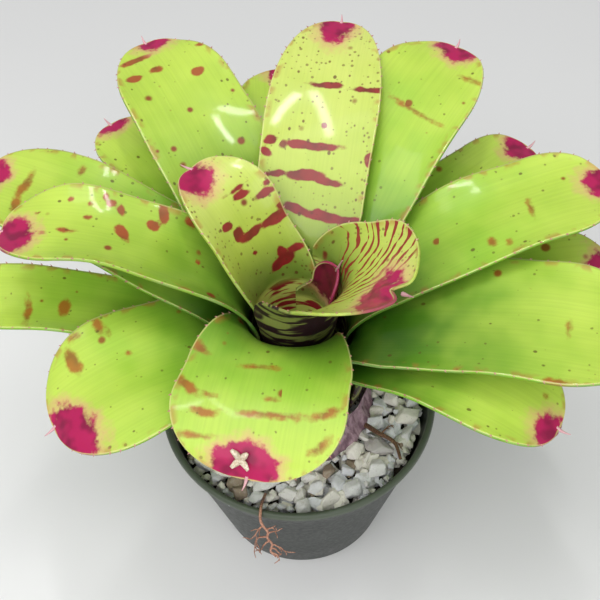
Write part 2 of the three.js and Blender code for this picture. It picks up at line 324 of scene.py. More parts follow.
@dataclass(frozen=True)
class Stripes:
    """Crimson stripes that run in arcs round a point of the blade, in millimetres.

    Attributes:
        across: The arcs' centre to the left of the blade's middle.
        from_tip: The centre's distance from the tip.
        nearest: Radius of the first stripe.
        farthest: Radius of the last one.
        spacing: From one stripe to the next.
    """

    across: float
    from_tip: float
    nearest: float
    farthest: float
    spacing: float

    def cover(
        self, g: Graph, across: NodeSocket, from_tip: NodeSocket, warp: NodeSocket, broken: NodeSocket
    ) -> NodeSocket:
        """Builds the stripes' mask.

        Args:
            g: The material being built.
            across: The place across the blade, in metres.
            from_tip: The distance from the tip, in metres.
            warp: A noise that bends the stripes.
            broken: A finer noise that breaks them.

        Returns:
            The mask, 1 in a stripe.
        """
        a = g.math("SUBTRACT", across, self.across * MM)
        b = g.math("SUBTRACT", from_tip, self.from_tip * MM)
        radius = g.math("SQRT", g.math("ADD", g.math("POWER", a, 2.0), g.math("POWER", b, 2.0)))
        bent = g.math("ADD", radius, g.math("MULTIPLY", g.math("SUBTRACT", warp, 0.5), 0.011))
        wave = g.math("SINE", g.math("MULTIPLY", bent, 2.0 * math.pi / (self.spacing * MM)))
        wave = g.math("ADD", wave, g.math("MULTIPLY", g.math("SUBTRACT", broken, 0.5), 3.4))
        inside = g.span(radius, self.farthest * MM, (self.farthest - 3.0) * MM)
        outside = g.span(radius, (self.nearest - 2.0) * MM, self.nearest * MM)
        return g.math("MULTIPLY", g.span(wave, 0.42, 0.66), g.math("MULTIPLY", inside, outside))


# ---- Finishes ----------------------------------------------------------------------------------------


@dataclass(frozen=True)
class LeafFinish:
    """The upper face of a leaf: waxy green with crimson marks, spots, a magenta tip and a pale margin.

    Attributes:
        deep: Green in the throat, partly the leaf's own darker base and partly painted shade.
        deep_reach: Share of the leaf's length at which the deep green has gone; past the throat it is painted
            shade.
        body: Green of the blade.
        light: Yellow green towards the tip.
        mark: Colour of the cross bands.
        mark_edge: How far a band fades out at its edge, in metres.
        mark_strength: How fully a band covers the green.
        spot_share: The share of the cells that have a large spot.
        freckle_share: The share of the cells that have a small one.
        freckle: Colour of the small ones.
        crown: Colour of the patch at the tip.
        foot: Colour of the clasping foot.
        foot_bar: Colour of the ragged bars across it.
        foot_reach: Share of the leaf's length that has the foot's colours.
        rust: Colour of the worn places along the margin.
        halo: Colour round the patch at the tip.
        margin: Colour of the thin pale rim.
        gloss: Weight of the waxy coat.
        stripes: The arcs of stripes on a leaf that has them.
    """

    deep: Colour = (0.050, 0.16, 0.010)
    # Past the throat, the deep green out to this share is painted shade.
    deep_reach: float = 0.60
    body: Colour = (0.27, 0.50, 0.035)
    light: Colour = (0.50, 0.66, 0.085)
    mark: Colour = (0.36, 0.070, 0.008)
    mark_edge: float = 0.0022
    mark_strength: float = 0.84
    spot_share: float = 0.10
    freckle_share: float = 0.14
    freckle: Colour = (0.10, 0.075, 0.006)
    crown: Colour = (0.42, 0.008, 0.085)
    foot: Colour = (0.024, 0.006, 0.011)
    foot_bar: Colour = (0.22, 0.25, 0.06)
    foot_reach: float = 0.07
    rust: Colour = (0.40, 0.13, 0.04)
    halo: Colour = (0.66, 0.36, 0.20)
    margin: Colour = (0.60, 0.62, 0.22)
    gloss: float = 0.42
    stripes: Optional[Stripes] = None

    def material(self, name: str, seed: float) -> Material:
        """Builds the upper face's material.

        Args:
            name: The material's name.
            seed: What sets this leaf's patterns apart.

        Returns:
            The material.
        """
        g = Graph(name)
        place = g.attribute("leaf_place").outputs["Vector"]
        axes = g.node("SeparateXYZ")
        g.feed(axes.inputs[0], place)
        across, from_tip, along = axes.outputs
        edge = g.attribute("leaf_edge").outputs["Fac"]
        mark = g.attribute("leaf_mark").outputs["Fac"]
        flat = g.stretched(place, (1.0, 1.0, 0.0), seed)
        cloud = g.noise(flat, 38.0, 2.0)
        streak = g.noise(g.stretched(place, (900.0, 16.0, 0.0), seed), 1.0, 2.0)
        # The deep green is partly the throat's own colour and partly painted shade on the lower blade.
        green = g.blend(g.span(along, 0.04, self.deep_reach), self.deep, self.body)
        ripe = g.math("ADD", along, g.math("MULTIPLY", cloud, 0.5))
        green = g.blend(g.span(ripe, 0.55, 1.25), green, self.light)
        green = g.blend(g.span(cloud, 0.35, 0.75, (0.0, 0.22)), green, self.light)
        green = g.blend(g.span(streak, 0.35, 0.7, (0.0, 0.08)), green, self.deep)
        ragged = g.noise(flat, 420.0, 2.0)
        wide = g.noise(flat, 130.0, 1.0)
        reach = g.math("ADD", mark, g.math("MULTIPLY", g.math("SUBTRACT", ragged, 0.5), self.mark_edge))
        reach = g.math("ADD", reach, g.math("MULTIPLY", g.math("SUBTRACT", wide, 0.5), 0.0032))
        cover = g.span(reach, self.mark_edge * 0.5, -self.mark_edge * 0.5, (0.0, self.mark_strength))
        shade = g.blend(g.span(wide, 0.35, 0.7), self.mark, tuple(c * 0.6 for c in self.mark))
        colour = g.blend(cover, green, shade)
        large = g.spots(flat, 120.0, 0.36, self.spot_share)
        colour = g.blend(g.math("MULTIPLY", large, 0.9), colour, tuple(c * 0.7 for c in self.mark))
        shares = (self.freckle_share * 0.55, min(1.0, self.freckle_share * 1.7))
        margin_share = g.span(edge, 0.014, 0.002, shares)
        specks = g.spots(g.stretched(flat, (1.0, 1.0, 0.0), 5.7), 420.0, 0.42, margin_share)
        colour = g.blend(g.math("MULTIPLY", specks, 0.6), colour, self.freckle)
        small = g.spots(g.stretched(flat, (1.0, 0.8, 0.0), 3.1), 270.0, 0.30, margin_share)
        colour = g.blend(g.math("MULTIPLY", small, 0.8), colour, self.freckle)
        rust = g.math("MULTIPLY", g.span(edge, 0.0045, 0.001), g.span(wide, 0.5, 0.62))
        colour = g.blend(g.math("MULTIPLY", rust, 0.55), colour, self.rust)
        if self.stripes:
            bends, breaks = g.noise(flat, 45.0, 2.0), g.noise(flat, 130.0, 2.0)
            arcs = self.stripes.cover(g, across, from_tip, bends, breaks)
            colour = g.blend(g.math("MULTIPLY", arcs, 0.95), colour, self.mark)
        crown = g.attribute("leaf_crown").outputs["Fac"]
        crown = g.math("ADD", crown, g.math("MULTIPLY", g.math("SUBTRACT", wide, 0.5), 0.009))
        crown = g.math("ADD", crown, g.math("MULTIPLY", g.math("SUBTRACT", ragged, 0.5), 0.006))
        colour = g.blend(g.span(crown, 0.0065, 0.0, (0.0, 0.6)), colour, self.halo)
        magenta = g.blend(g.span(wide, 0.40, 0.68), self.crown, tuple(c * 0.55 for c in self.crown))
        colour = g.blend(g.span(crown, 0.0012, -0.0022), colour, magenta)
        pale = g.span(edge, 0.0009, 0.0003, (0.0, 0.7))
        colour = g.blend(pale, colour, self.margin)
        colour = self.sheath(g, colour, flat, along)
        wear = g.math("ADD", g.math("MULTIPLY", streak, 0.5), g.math("MULTIPLY", cloud, 0.5))
        roughness = g.span(cloud, 0.3, 0.75, (0.38, 0.52))
        normal = g.relief(wear, 0.22, 0.0004)
        normal = g.relief(g.noise(flat, 30.0, 1.0), 0.3, 0.0010, normal)
        return g.finish(
            colour,
            roughness,
            normal,
            Subsurface_Weight=0.18,
            Subsurface_Radius=(0.5, 0.8, 0.15),
            Subsurface_Scale=0.0022,
            Specular_IOR_Level=0.3,
            Coat_Weight=self.gloss,
            Coat_Roughness=0.09,
        )

    def sheath(self, g: Graph, colour: NodeSocket, flat: NodeSocket, along: NodeSocket) -> NodeSocket:
        """Colours the clasping foot of a leaf, with ragged bars across it.

        Args:
            g: The material being built.
            colour: The blade's colour.
            flat: Where patterns are read.
            along: The share of the blade's length, below 0 on the sheath.

        Returns:
            The colour with its sheath.
        """
        bars = g.noise(g.stretched(flat, (0.22, 1.0, 0.0)), 230.0, 2.0)
        barred = g.blend(g.span(bars, 0.49, 0.57), self.foot, self.foot_bar)
        height = g.math("ADD", along, g.math("MULTIPLY", bars, 0.10))
        foot = g.span(height, self.foot_reach, self.foot_reach - 0.09)
        return g.blend(foot, colour, barred)


@dataclass(frozen=True)
class LeafUnderside(LeafFinish):
    """The lower face of a leaf, duller, with a grey bloom.

    Attributes:
        bloom: Colour of the bloom.
        patch: Colour of the patch at the tip.
    """

    bloom: Colour = (0.34, 0.42, 0.20)
    patch: Colour = (0.34, 0.02, 0.09)

    def material(self, name: str, seed: float) -> Material:
        """Builds the lower face's material.

        Args:
            name: The material's name.
            seed: What sets this leaf's patterns apart.

        Returns:
            The material.
        """
        g = Graph(name)
        place = g.attribute("leaf_place").outputs["Vector"]
        axes = g.node("SeparateXYZ")
        g.feed(axes.inputs[0], place)
        along = axes.outputs[2]
        flat = g.stretched(place, (1.0, 1.0, 0.0), seed)
        streak = g.noise(g.stretched(place, (800.0, 20.0, 0.0), seed), 1.0, 2.0)
        bloom = g.noise(g.stretched(place, (6.0, 70.0, 0.0), seed), 1.0, 3.0)
        # The deep green at the base is partly the leaf's own colour and partly painted shade.
        green = g.blend(g.span(along, 0.0, 0.5), self.deep, self.body)
        green = g.blend(g.span(bloom, 0.45, 0.65, (0.0, 0.35)), green, self.bloom)
        green = g.blend(g.span(streak, 0.3, 0.7, (0.0, 0.3)), green, self.deep)
        mark = g.attribute("leaf_mark").outputs["Fac"]
        cover = g.span(mark, 0.0015, -0.0015, (0.0, self.mark_strength * 0.7))
        colour = g.blend(cover, green, self.mark)
        crown = g.attribute("leaf_crown").outputs["Fac"]
        colour = g.blend(g.span(crown, 0.003, -0.003, (0.0, 0.9)), colour, self.patch)
        colour = self.sheath(g, colour, flat, along)
        normal = g.relief(streak, 0.4, 0.0005)
        return g.finish(colour, 0.5, normal, Subsurface_Weight=0.1, Subsurface_Scale=0.002)


@dataclass(frozen=True)
class ThornFinish:
    """The teeth along the margins and the spine at the tip.

    Attributes:
        base: The darker colour.
        end: The paler one.
    """

    base: Colour = (0.40, 0.10, 0.05)
    end: Colour = (0.66, 0.40, 0.36)

    def material(self, name: str) -> Material:
        """Builds the material, which mottles from one colour to the other.

        Args:
            name: The material's name.

        Returns:
            The material.
        """
        g = Graph(name)
        where = g.node("TexCoord").outputs["Object"]
        colour = g.blend(g.noise(where, 500.0), self.base, self.end)
        return g.finish(colour, 0.45, g.relief(g.noise(where, 2200.0), 0.3, 0.0002))


@dataclass(frozen=True)
class PotFinish:
    """Moulded plastic that has greyed, with specks of lime scale and a paler lip.

    Attributes:
        body: The plastic.
        worn: The plastic where it has greyed.
        lip: The paler lip.
        scale: The lime scale.
    """

    body: Colour = (0.0035, 0.0075, 0.0045)
    worn: Colour = (0.0075, 0.0125, 0.0085)
    lip: Colour = (0.085, 0.105, 0.072)
    scale: Colour = (0.26, 0.27, 0.235)

    def material(self, name: str, lip_height: float) -> Material:
        """Builds the pot's material.

        Args:
            name: The material's name.
            lip_height: Height above which the plastic is the lip's.

        Returns:
            The material.
        """
        g = Graph(name)
        where = g.node("TexCoord").outputs["Object"]
        axes = g.node("SeparateXYZ")
        g.feed(axes.inputs[0], where)
        height = axes.outputs[2]
        cloud = g.noise(where, 28.0, 4.0)
        fine = g.noise(where, 420.0, 3.0)
        colour = g.blend(g.span(cloud, 0.38, 0.68), self.body, self.worn)
        lip = g.span(height, lip_height - 0.0006, lip_height + 0.0012, (0.0, 0.85))
        colour = g.blend(lip, colour, self.lip)
        film = g.math("MULTIPLY", g.span(fine, 0.52, 0.72), g.span(cloud, 0.4, 0.62))
        colour = g.blend(g.math("MULTIPLY", film, 0.05), colour, self.scale)
        specks = g.spots(where, 420.0, 0.24, g.span(cloud, 0.40, 0.68, (0.03, 0.30)))
        colour = g.blend(g.math("MULTIPLY", specks, 0.7), colour, self.scale)
        roughness = g.span(fine, 0.3, 0.7, (0.36, 0.46))
        normal = g.relief(g.noise(where, 900.0, 2.0), 0.05, 0.0002)
        normal = g.relief(g.noise(where, 14.0, 1.0), 0.3, 0.0010, normal)
        return g.finish(colour, roughness, normal, Specular_IOR_Level=0.35)


@dataclass(frozen=True)
class StoneFinish:
    """Crushed pumice, each stone in its own tone, pitted and dusty, with painted shade in its pits.

    Attributes:
        cream: The warmer stones.
        grey: The cooler stones.
        dark: The darker blotches, and the painted shade in the pits.
        brown: The odd brown stone.
    """

    cream: Colour = (0.92, 0.88, 0.80)
    grey: Colour = (0.76, 0.77, 0.80)
    dark: Colour = (0.52, 0.48, 0.42)
    brown: Colour = (0.36, 0.28, 0.21)

    def material(self, name: str) -> Material:
        """Builds the stones' material, which reads each stone's tone from its attribute.

        Args:
            name: The material's name.

        Returns:
            The material.
        """
        g = Graph(name)
        where = g.node("TexCoord").outputs["Object"]
        tone = g.attribute("stone_tone").outputs["Fac"]
        colour = g.blend(g.span(tone, 0.35, 0.75), self.cream, self.grey)
        colour = g.blend(g.span(tone, 0.90, 0.97), colour, self.brown)
        cloud = g.noise(where, 240.0, 4.0)
        colour = g.blend(g.span(cloud, 0.52, 0.78, (0.0, 0.55)), colour, self.dark)
        grain = g.noise(where, 900.0, 3.0)
        # Painted shade: the grain darkens the pits that the bump below sinks into each stone.
        colour = g.blend(g.span(grain, 0.60, 0.72, (0.0, 0.45)), colour, self.dark)
        fibres = g.noise(g.stretched(where, (1.0, 0.35, 1.0)), 620.0, 5.0, 0.68)
        normal = g.relief(fibres, 0.85, 0.0011)
        normal = g.relief(g.math("SUBTRACT", 1.0, grain), 0.5, 0.0004, normal)
        return g.finish(colour, 0.9, normal, Specular_IOR_Level=0.25)


@dataclass(frozen=True)
class FibreFinish:
    """A dry fibrous thing, such as a root, a stem or a dead leaf base.

    Attributes:
        light: The paler fibres.
        dark: The gaps between them.
        stretch: How much finer the fibres are on each axis.
        roughness: The surface's roughness.
    """

    light: Colour
    dark: Colour
    stretch: tuple[float, float, float] = (1.0, 1.0, 0.15)
    roughness: float = 0.75

    def material(self, name: str, fineness: float = 700.0) -> Material:
        """Builds the material.

        Args:
            name: The material's name.
            fineness: How many fibres there are to a metre.

        Returns:
            The material.
        """
        g = Graph(name)
        where = g.node("TexCoord").outputs["Object"]
        fibres = g.noise(g.stretched(where, self.stretch), fineness, 3.0)
        blotch = g.noise(where, 90.0, 3.0)
        colour = g.blend(g.span(fibres, 0.35, 0.65), self.dark, self.light)
        colour = g.blend(g.span(blotch, 0.45, 0.7, (0.0, 0.5)), colour, self.dark)
        return g.finish(colour, self.roughness, g.relief(fibres, 0.6, 0.0005))


# ---- Pieces ------------------------------------------------------------------------------------------


def piece(
    name: str,
    mesh: bmesh.types.BMesh,
    materials: Sequence[Material],
    stands_for: Sequence[str] = (),
) -> Object:
    """Makes an object of a mesh and ties it to the frame.

    Args:
        name: The piece's name.
        mesh: Its mesh, which is used up.
        materials: Its materials, in the order of its faces' indices.
        stands_for: The CAD nodes that it replaces.

    Returns:
        The object.
    """
    data = bpy.data.meshes.new(name)
    mesh.to_mesh(data)
    mesh.free()
    made = bpy.data.objects.new(name, data)
    bpy.context.scene.collection.objects.link(made)
    for material in materials:
        data.materials.append(material)
    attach(made, BODY)
    if stands_for:
        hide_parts(*stands_for)
    log.info("%s: %d faces", name, len(data.polygons))
    return made


def keep_node(name: str, material: Material) -> Object:
    """Shows a CAD node in a finish of its own.

    Args:
        name: The node's name.
        material: Its finish.

    Returns:
        The node's object.
    """
    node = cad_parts[name]
    node.data.materials.clear()
    node.data.materials.append(material)
    log.info("%s: kept", name)
    return node


def sweep(
    mesh: bmesh.types.BMesh, path: Sequence[Vector], radii: Sequence[float], sides: int = 8, index: int = 0
) -> None:
    """Extrudes a disc along a path, into a closed rod that may taper.

    Args:
        mesh: The mesh it joins.
        path: The points along the middle.
        radii: The radius at each point.
        sides: How many sides it has.
        index: The faces' material index.
    """
    before = (path[1] - path[0]).normalized()
    turn = Vector((0.0, 0.0, 1.0)).rotation_difference(before).to_matrix().to_4x4()
    place = Matrix.Translation(path[0]) @ turn
    ring = bmesh.ops.create_circle(mesh, cap_ends=True, segments=sides, radius=radii[0], matrix=place)
    cap = ring["verts"][0].link_faces[0]
    made = {cap}
    for number in range(1, len(path)):
        last = number == len(path) - 1
        after = before if last else (path[number + 1] - path[number - 1]).normalized()
        grown = bmesh.ops.extrude_face_region(mesh, geom=[cap])["geom"]
        verts = [item for item in grown if isinstance(item, bmesh.types.BMVert)]
        cap = next(item for item in grown if isinstance(item, bmesh.types.BMFace))
        middle = sum((vert.co for vert in verts), Vector()) / len(verts)
        spin = before.rotation_difference(after).to_matrix().to_4x4()
        scale = Matrix.Scale(radii[number] / max(1e-7, (verts[0].co - middle).length), 4)
        move = Matrix.Translation(path[number]) @ spin @ scale @ Matrix.Translation(-middle)
        bmesh.ops.transform(mesh, matrix=move, verts=verts)
        made.update(face for vert in verts for face in vert.link_faces)
        before = after
    for face in made:
        if face.is_valid:
            face.material_index = index
            face.smooth = True


# ---- Leaves ------------------------------------------------------------------------------------------


class Look(Enum):
    """How strongly a leaf is marked, which depends on its age; SHADED is a darker copy with painted shade."""

    HEART = "heart"
    CUP = "cup"
    INNER = "inner"
    MIDDLE = "middle"
    OUTER = "outer"
    SHADED = "shaded"
    FRONT = "front"


INNER = LeafFinish(
    deep=(0.17, 0.27, 0.035),
    deep_reach=0.42,
    body=(0.44, 0.56, 0.075),
    light=(0.60, 0.68, 0.16),
    mark=(0.27, 0.002, 0.018),
    mark_edge=0.0008,
    mark_strength=0.96,
    spot_share=0.30,
    freckle_share=0.75,
    freckle=(0.11, 0.022, 0.010),
    foot=(0.56, 0.63, 0.15),
    foot_bar=(0.26, 0.006, 0.022),
)
FINISHES = {
    Look.HEART: replace(
        INNER,
        deep=(0.20, 0.26, 0.05),
        body=(0.22, 0.05, 0.03),
        light=(0.10, 0.012, 0.02),
        mark=(0.05, 0.003, 0.008),
        crown=(0.16, 0.006, 0.03),
    ),
    Look.CUP: replace(INNER, stripes=Stripes(37, 56, 12, 54, 3.9)),
    Look.INNER: INNER,
    Look.MIDDLE: LeafFinish(
        body=(0.30, 0.48, 0.04),
        mark=(0.34, 0.022, 0.016),
        mark_edge=0.0012,
        mark_strength=0.88,
        spot_share=0.20,
    ),
    Look.OUTER: LeafFinish(),
    Look.FRONT: LeafFinish(gloss=0.12),
    # Painted shade: a darker copy of the outer finish, its deep green running almost to the tip, for leaves
    # in shade.
    Look.SHADED: LeafFinish(deep=(0.035, 0.14, 0.008), deep_reach=0.95, body=(0.24, 0.48, 0.030)),
}


@dataclass(frozen=True)
class LeafShape:
    """One leaf's sizes, with angles in degrees and lengths in millimetres.

    Attributes:
        name: The CAD node that it stands for.
        azimuth: The way it faces.
        wrap: Half of the angle that its sheath clasps.
        length: From the top of the sheath to the tip.
        half_width: At the widest.
        rise: Slope of the blade above the throat.
        droop: Slope downwards at the tip.
        cup: Half angle of the channel across the blade.
        tip_share: Length of the rounded end over the half width.
        lift: How much taller its sheath stands than its ring's.
        look: How strongly it is marked; SHADED paints shade on it.
        crown: The magenta patch at its tip.
        marks: Its bands and blotches.
        notch: How deep the tip is drawn in.
        wave: How strongly it undulates.
    """

    name: str
    azimuth: float
    wrap: float
    length: float
    half_width: float
    rise: float
    droop: float
    cup: float
    tip_share: float
    lift: float = 0.0
    look: Look = Look.OUTER
    crown: Mark = Mark(0, 3, 15, 15)
    marks: tuple[Mark, ...] = ()
    notch: float = 0.0
    wave: float = 1.0


@dataclass(frozen=True)
class Station:
    """One cross-section of a leaf.

    Attributes:
        middle: The point on the leaf's middle line.
        side: The unit vector across the leaf, to its left.
        inward: The unit vector that its channel opens along.
        forward: The unit vector along the leaf, towards its tip.
        half: Half of its width along the curve.
        turn: Half of the angle that the section bends through.
        share: The share of the blade's length, below 0 on the sheath.
        from_tip: The distance to the tip along the leaf.
    """

    middle: Vector
    side: Vector
    inward: Vector
    forward: Vector
    half: float
    turn: float
    share: float
    from_tip: float

    def point(self, across: float) -> Vector:
        """Gives a place on the section.

        Args:
            across: The share across it, from -1 at the right margin to 1 at the left.

        Returns:
            The place.
        """
        bow = self.half / self.turn
        angle = across * self.turn
        along = self.side * (bow * math.sin(angle))
        return self.middle + along + self.inward * (bow * (1.0 - math.cos(angle)))


@dataclass
class Rosette:
    """The plant's leaves, nested in rings round a short stem.

    Attributes:
        stem_radius: The stem's radius.
        clearance: Gap between the stem and the sheaths.
        stem_gap: Radius of the innermost ring's bulb.
        ring_step: From one ring's bulb to the next one's.
        lean: Outward lean of the sheaths, in degrees.
        wall: Height of the innermost sheath's upright part.
        wall_step: How much shorter each ring's is.
        bulb_centre: Height at which every sheath has turned upright.
        thickness: The blade's thickness.
        neck_share: Width at the throat over the widest.
        widest_at: Where the blade is widest, as a share of its length.
        throat: Arc in which a sheath turns out into its blade.
        roundness: Power of the curve that ends the blade.
        longest_throat: That arc over the leaf's length, at most.
        longest_tip: Rounded end over the blade's length, at most.
        flattening: Share of the channel that is gone at the tip.
        droop_power: How late along the blade its bend comes.
        spine_length: Length of the spine at the tip.
        tooth_spacing: From one tooth to the next.
        tooth_length: A tooth's length.
        spine_radii: The spine's radii from its foot to its point, in millimetres.
        leaves: The leaves, from the heart outwards.
    """

    stem_radius: float = 8.0 * MM
    clearance: float = 0.4 * MM
    stem_gap: float = 1.2 * MM
    ring_step: float = 1.6 * MM
    lean: float = 9.0
    wall: float = 54.0 * MM
    wall_step: float = 2.4 * MM
    bulb_centre: float = 136.0 * MM
    thickness: float = 1.3 * MM
    neck_share: float = 0.95
    widest_at: float = 0.5
    throat: float = 42.0 * MM
    roundness: float = 2.2
    longest_throat: float = 0.45
    longest_tip: float = 0.85
    flattening: float = 0.35
    droop_power: float = 1.5
    spine_length: float = 7.6 * MM
    tooth_spacing: float = 6.0 * MM
    tooth_length: float = 1.3 * MM
    spine_radii: Sequence[float] = (1.1, 1.0, 0.85, 0.7, 0.55, 0.42, 0.3, 0.15)
    leaves: Sequence[LeafShape] = field(default_factory=tuple)

    def stations(self, leaf: LeafShape, rank: int) -> list[Station]:
        """Follows a leaf from the stem to its tip.

        Args:
            leaf: The leaf.
            rank: Its ring, 0 at the heart.

        Returns:
            Its cross-sections.
        """
        wrap = math.radians(leaf.wrap)
        wall_slope = math.radians(90.0 - self.lean)
        rise = math.radians(leaf.rise)
        droop = math.radians(leaf.droop)
        bulb = self.stem_gap + self.ring_step * rank
        bulb_length = bulb * wall_slope
        wall_length = (self.wall - self.wall_step * rank + leaf.lift * MM) / math.sin(wall_slope)
        length = leaf.length * MM
        throat = min(self.throat, length * self.longest_throat)
        blade = length - throat
        half_width = leaf.half_width * MM
        tip = min(half_width * leaf.tip_share, blade * self.longest_tip)
        start = self.stem_radius + self.clearance
        top_radius = start + bulb * math.sin(wall_slope) + wall_length * math.cos(wall_slope)
        sheath = bulb_length + wall_length

        def width(share: float) -> float:
            """Gives the blade's half width.

            Args:
                share: The share of the blade's length.

            Returns:
                The half width.
            """
            swell = mix(self.neck_share, 1.0, smooth(share / self.widest_at))
            end = max(0.0, (share * blade - (blade - tip)) / tip)
            return half_width * swell * math.sqrt(max(0.0, 1.0 - end**self.roundness))

        def section(s: float) -> tuple[float, float, float, float]:
            """Gives what a cross-section needs.

            Args:
                s: The arc length from the stem.

            Returns:
                The slope, the half width or -1 on the sheath, the half angle and the blade share.
            """
            if s <= bulb_length:
                return wall_slope * s / max(bulb_length, 1e-6), -1.0, wrap, s / sheath - 1.0
            if s <= sheath:
                return wall_slope, -1.0, wrap, s / sheath - 1.0
            if s <= sheath + throat:
                t = smooth((s - sheath) / throat)
                half = mix(top_radius * wrap, width(0.0), t)
                turn = mix(wrap, math.radians(leaf.cup), t)
                return mix(wall_slope, rise, t), half, turn, (s - sheath) / length
            share = (s - sheath - throat) / blade
            turn = math.radians(leaf.cup) * (1.0 - self.flattening * share)
            slope = mix(rise, -droop, share**self.droop_power)
            return slope, width(share), turn, (s - sheath) / length

        lengths = [sheath * i / 12 for i in range(12)]
        plain = sheath + length - tip
        rows = max(24, round((plain - sheath) / (self.grain(leaf) * 1.1)))
        lengths += [mix(sheath, plain, i / rows) for i in range(rows)]
        rows = max(16, round(tip / self.grain(leaf) * 1.3))
        lengths += [plain + tip * math.sin(i / rows * math.pi / 2) * 0.9985 for i in range(rows + 1)]
        azimuth = math.radians(leaf.azimuth)
        out = radial(azimuth)
        side = Vector((-out.y, out.x, 0.0))
        point = out * start
        point.z = self.bulb_centre - bulb
        before, slope_before = 0.0, section(0.0)[0]
        made = []
        for s in lengths:
            steps = max(1, round((s - before) / (0.7 * MM)))
            for step in range(steps):
                there = mix(before, s, (step + 1) / steps)
                slope = section(there)[0]
                middle = (slope + slope_before) / 2.0
                reach = (s - before) / steps
                point = point + out * (reach * math.cos(middle))
                point.z += reach * math.sin(middle)
                slope_before = slope
            before = s
            slope, half, turn, share = section(s)
            forward = out * math.cos(slope) + Vector((0.0, 0.0, math.sin(slope)))
            if half < 0.0:
                half = math.hypot(point.x, point.y) * turn
                inward = -out
            else:
                inward = forward.cross(side)
            width_here, turn = max(half, 0.2 * MM), max(turn, 0.02)
            from_tip = sheath + length - s
            made.append(Station(point.copy(), side, inward, forward, width_here, turn, share, from_tip))
        return made

    def grain(self, leaf: LeafShape) -> float:
        """Gives the size of a leaf's faces, which are finer where the marks are."""
        return (1.0 if leaf.look in (Look.INNER, Look.CUP, Look.HEART) else 1.45) * MM

    def columns(self, leaf: LeafShape) -> int:
        """Gives how many faces there are across a leaf."""
        return round(2.0 * leaf.half_width * MM / self.grain(leaf))

    def drawn_in(self, leaf: LeafShape, station: Station, sideways: float) -> float:
        """Gives how far the tip is drawn in at a place.

        Args:
            leaf: The leaf.
            station: The cross-section.
            sideways: The distance from the leaf's middle.

        Returns:
            The distance.
        """
        near = smooth(1.0 - station.from_tip / (22.0 * MM))
        return leaf.notch * MM * near * math.exp(-((sideways / (4.5 * MM)) ** 2))

    def wave(self, leaf: LeafShape, rank: int, station: Station, across: float) -> Vector:
        """Gives the small undulation of a leaf at a place, which is strongest along its margins.

        Args:
            leaf: The leaf.
            rank: Its ring.
            station: The cross-section.
            across: The share across it.

        Returns:
            The shift.
        """
        if station.share <= 0.02:
            return Vector()
        fade = smooth((station.share - 0.02) / 0.25) * smooth(station.from_tip / (10.0 * MM))
        turn = station.from_tip / (0.052 + 0.004 * (rank % 4)) * 2.0 * math.pi
        margin = abs(across) ** 3 * math.sin(turn + (0.0 if across > 0 else 2.2) + rank * 1.9) * 1.1 * MM
        seed = Vector((across * 1.3, station.from_tip * 26.0, rank * 7.7))
        broad = noise.noise(seed) * 1.6 * MM
        return station.inward * (fade * leaf.wave * (margin + broad))

    def blade(self, leaf: LeafShape, rank: int) -> bmesh.types.BMesh:
        """Shapes a leaf's plate from a grid and thickens it.

        Args:
            leaf: The leaf.
            rank: Its ring.

        Returns:
            The plate, with its place, margin and mark attributes.
        """
        mesh = bmesh.new()
        place = mesh.verts.layers.float_vector.new("leaf_place")
        edge = mesh.verts.layers.float.new("leaf_edge")
        mark = mesh.verts.layers.float.new("leaf_mark")
        crown = mesh.verts.layers.float.new("leaf_crown")
        stations = self.stations(leaf, rank)
        rows = len(stations) - 1
        bmesh.ops.create_grid(mesh, x_segments=self.columns(leaf), y_segments=rows, size=1.0)
        for vert in mesh.verts:
            across = vert.co.x
            across = math.copysign(abs(across) ** 0.9, across)
            station = stations[round((vert.co.y + 1.0) / 2.0 * rows)]
            sideways = across * station.half
            vert.co = station.point(across) + self.wave(leaf, rank, station, across)
            vert.co -= station.forward * self.drawn_in(leaf, station, sideways)
            vert[place] = Vector((sideways, station.from_tip, station.share))
            rim = (1.0 - abs(across)) * station.half
            vert[edge] = min(rim, station.from_tip * 0.9) if station.share > 0 else max(rim, 0.01)
            outside = [m.outside(sideways, station.from_tip) for m in leaf.marks]
            vert[mark] = min(outside + [0.02])
            vert[crown] = leaf.crown.outside(sideways, station.from_tip)
        upper = list(mesh.faces)
        mesh.normal_update()
        middle = upper[len(upper) // 2]
        if middle.normal.dot(stations[rows // 2].inward) < 0.0:
            bmesh.ops.reverse_faces(mesh, faces=upper)
        bmesh.ops.solidify(mesh, geom=upper, thickness=self.thickness)
        return mesh

